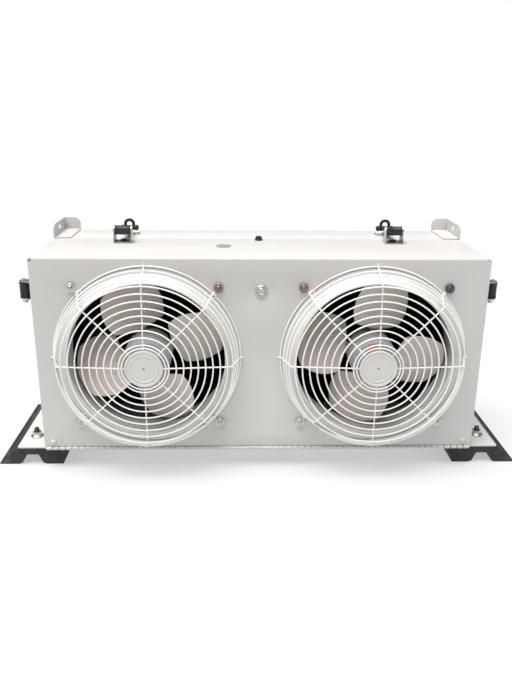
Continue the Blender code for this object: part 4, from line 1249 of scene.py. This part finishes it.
def stage(settings):
    """A lit white table, an even pale sky, two soft lights and the camera."""
    table(settings.table)
    backdrop(settings.sky)
    soft_sun("overhead", (0.16, 0.14, -1), 50, settings.overhead)
    soft_light("upper_front", (-0.7, -1.2, 1.9), (-0.1, FRONT, 0.30), 0.9, 3.0)
    camera()
    bpy.context.scene.view_settings.view_transform = "Standard"
    bpy.context.scene.view_settings.look = "None"


def table(glow):
    """A plain white table that is lit from below, so that it takes only a faint shadow."""
    floor = bmesh.new()
    bmesh.ops.create_grid(floor, x_segments=1, y_segments=1, size=40.0)
    mesh = bpy.data.meshes.new("floor")
    floor.to_mesh(mesh)
    floor.free()
    made = bpy.data.objects.new("floor", mesh)
    bpy.context.scene.collection.objects.link(made)
    made.location = (0, 0, -0.0005)
    mesh.materials.append(table_finish(glow))


def table_finish(glow):
    """A matt pale material with a light of its own."""
    made = bpy.data.materials.new("pale_floor")
    made.use_nodes = True
    tree = made.node_tree
    shader = tree.nodes["Principled BSDF"]
    tone = noise(tree, object_coordinates(tree), 2.0, 2.0)
    colour = mixed_colour(tree, ranged(tree, tone, 0.3, 0.7), (0.33, 0.33, 0.33, 1), (0.35, 0.35, 0.35, 1))
    tree.links.new(colour, shader.inputs["Base Color"])
    shader.inputs["Roughness"].default_value = 0.9
    shader.inputs["Emission Color"].default_value = (1.0, 1.0, 1.0, 1.0)
    shader.inputs["Emission Strength"].default_value = glow
    return made


def backdrop(sky):
    """A world that looks white and gives a weaker, even light."""
    world = bpy.data.worlds.new("studio")
    bpy.context.scene.world = world
    world.use_nodes = True
    tree = world.node_tree
    seen = node(tree, "ShaderNodeLightPath").outputs["Is Camera Ray"]
    background = tree.nodes["Background"]
    background.inputs["Color"].default_value = (1.0, 1.0, 1.0, 1.0)
    tree.links.new(ranged(tree, seen, 0.0, 1.0, sky, 1.05), background.inputs["Strength"])


def soft_sun(name, direction, spread, strength):
    """A light from far away that shines along a direction; its spread in degrees softens the shadows."""
    data = bpy.data.lights.new(name, "SUN")
    data.energy, data.angle = strength, math.radians(spread)
    light = bpy.data.objects.new(name, data)
    bpy.context.scene.collection.objects.link(light)
    light.rotation_euler = Vector(direction).to_track_quat("-Z", "Y").to_euler()


def soft_light(name, location, target, size, power):
    """A round lamp that shines at a place."""
    data = bpy.data.lights.new(name, "AREA")
    data.shape, data.size, data.energy = "DISK", size, power
    light = bpy.data.objects.new(name, data)
    bpy.context.scene.collection.objects.link(light)
    light.location = location
    light.rotation_euler = (Vector(target) - Vector(location)).to_track_quat("-Z", "Y").to_euler()


def camera():
    """The camera in front of the panel, a little above the case and left of its middle."""
    data = bpy.data.cameras.new("camera")
    data.lens = LENS
    data.clip_start, data.clip_end = 0.05, 50
    made = bpy.data.objects.new("camera", data)
    bpy.context.scene.collection.objects.link(made)
    yaw, pitch, roll = (math.radians(angle) for angle in (CAMERA_YAW, CAMERA_PITCH, CAMERA_ROLL))
    ahead = Vector((math.sin(yaw) * math.cos(pitch), math.cos(yaw) * math.cos(pitch), -math.sin(pitch)))
    level = Vector((math.cos(yaw), -math.sin(yaw), 0))
    upward = level.cross(ahead)
    right = level * math.cos(roll) + upward * math.sin(roll)
    up = -level * math.sin(roll) + upward * math.cos(roll)
    turn = Matrix((right, up, -ahead)).transposed()
    place = Vector(CAMERA_PLACE) + Vector((0, FRONT, BASE_TOP))
    made.matrix_world = Matrix.Translation(place) @ turn.to_4x4()
    bpy.context.scene.camera = made


# ---------------------------------------------------------------- operators
class OILCOOLER_OT_finishes(Operator):
    """Make the paints, metals and rubbers"""

    bl_idname = "oilcooler.finishes"
    bl_label = "Finishes"

    def execute(self, context):
        FINISHES.update(make_finishes(context.scene.oil_cooler))
        return {"FINISHED"}


class OILCOOLER_OT_base(Operator):
    """Build the base plate, the skid rails and the anchor bolts"""

    bl_idname = "oilcooler.base"
    bl_label = "Base"

    def execute(self, context):
        base_plate(context.scene.oil_cooler.sheet_edge)
        skid_rails()
        anchor_bolts()
        return {"FINISHED"}


class OILCOOLER_OT_case(Operator):
    """Build the folded case, the hood cover, the floor pan and the rear frame"""

    bl_idname = "oilcooler.case"
    bl_label = "Case"

    def execute(self, context):
        settings = context.scene.oil_cooler
        case_shell(settings)
        floor_pan(settings.sheet_edge)
        rear_frame(settings.sheet_edge)
        rivets()
        return {"FINISHED"}


class OILCOOLER_OT_corner_brackets(Operator):
    """Build the two slotted brackets on the rear top corners"""

    bl_idname = "oilcooler.corner_brackets"
    bl_label = "Corner Brackets"

    def execute(self, context):
        corner_brackets(context.scene.oil_cooler.sheet_edge)
        return {"FINISHED"}


class OILCOOLER_OT_core(Operator):
    """Build the finned core, its two tanks and the oil ports"""

    bl_idname = "oilcooler.core"
    bl_label = "Core and Tanks"

    def execute(self, context):
        cooler_core(context.scene.oil_cooler.fin_pitch)
        tanks_and_ports()
        return {"FINISHED"}


class OILCOOLER_OT_front_panel(Operator):
    """Build the front panel, its screws and the quarter-turn fastener"""

    bl_idname = "oilcooler.front_panel"
    bl_label = "Front Panel"

    def execute(self, context):
        front_panel(context.scene.oil_cooler.sheet_edge)
        panel_screws()
        centre_fastener()
        return {"FINISHED"}


class OILCOOLER_OT_guards(Operator):
    """Build the fan rings and the wire guards"""

    bl_idname = "oilcooler.guards"
    bl_label = "Guards and Rings"

    def execute(self, context):
        fan_rings()
        guards(context.scene.oil_cooler)
        return {"FINISHED"}


class OILCOOLER_OT_fans(Operator):
    """Build the motors, hubs, blades and rivets"""

    bl_idname = "oilcooler.fans"
    bl_label = "Fans"

    def execute(self, context):
        motors()
        fans(context.scene.oil_cooler)
        return {"FINISHED"}


class OILCOOLER_OT_latches(Operator):
    """Build the four rubber draw latches and their keepers"""

    bl_idname = "oilcooler.latches"
    bl_label = "Latches"

    def execute(self, context):
        latches()
        return {"FINISHED"}


class OILCOOLER_OT_hinge(Operator):
    """Build the piano hinge along the bottom front edge"""

    bl_idname = "oilcooler.hinge"
    bl_label = "Piano Hinge"

    def execute(self, context):
        piano_hinge()
        return {"FINISHED"}


class OILCOOLER_OT_top_fittings(Operator):
    """Build the knob and the plug on the hood's top"""

    bl_idname = "oilcooler.top_fittings"
    bl_label = "Top Fittings"

    def execute(self, context):
        top_fittings()
        return {"FINISHED"}


class OILCOOLER_OT_stage(Operator):
    """Set up the floor, the soft lights and the camera"""

    bl_idname = "oilcooler.stage"
    bl_label = "Stage"

    def execute(self, context):
        stage(context.scene.oil_cooler)
        return {"FINISHED"}


STEPS = (
    OILCOOLER_OT_stage, OILCOOLER_OT_finishes, OILCOOLER_OT_base, OILCOOLER_OT_case,
    OILCOOLER_OT_corner_brackets, OILCOOLER_OT_core, OILCOOLER_OT_front_panel, OILCOOLER_OT_guards,
    OILCOOLER_OT_fans, OILCOOLER_OT_latches, OILCOOLER_OT_hinge, OILCOOLER_OT_top_fittings,
)


class OILCOOLER_PT_panel(Panel):
    """Lists the steps and the settings"""

    bl_idname = "OILCOOLER_PT_panel"
    bl_label = "Oil Cooler"
    bl_space_type = "VIEW_3D"
    bl_region_type = "UI"
    bl_category = "Oil Cooler"

    def draw(self, context):
        settings = context.scene.oil_cooler
        for name in OilCoolerSettings.__annotations__:
            self.layout.prop(settings, name)
        for step in STEPS:
            self.layout.operator(step.bl_idname)


CLASSES = (OilCoolerSettings, *STEPS, OILCOOLER_PT_panel)


def register():
    for cls in CLASSES:
        bpy.utils.register_class(cls)
    bpy.types.Scene.oil_cooler = PointerProperty(type=OilCoolerSettings)


def unregister():
    del bpy.types.Scene.oil_cooler
    for cls in reversed(CLASSES):
        bpy.utils.unregister_class(cls)


def main():
    register()
    for step in STEPS:
        family, name = step.bl_idname.split(".")
        getattr(getattr(bpy.ops, family), name)()


if __name__ == "__main__":
    main()
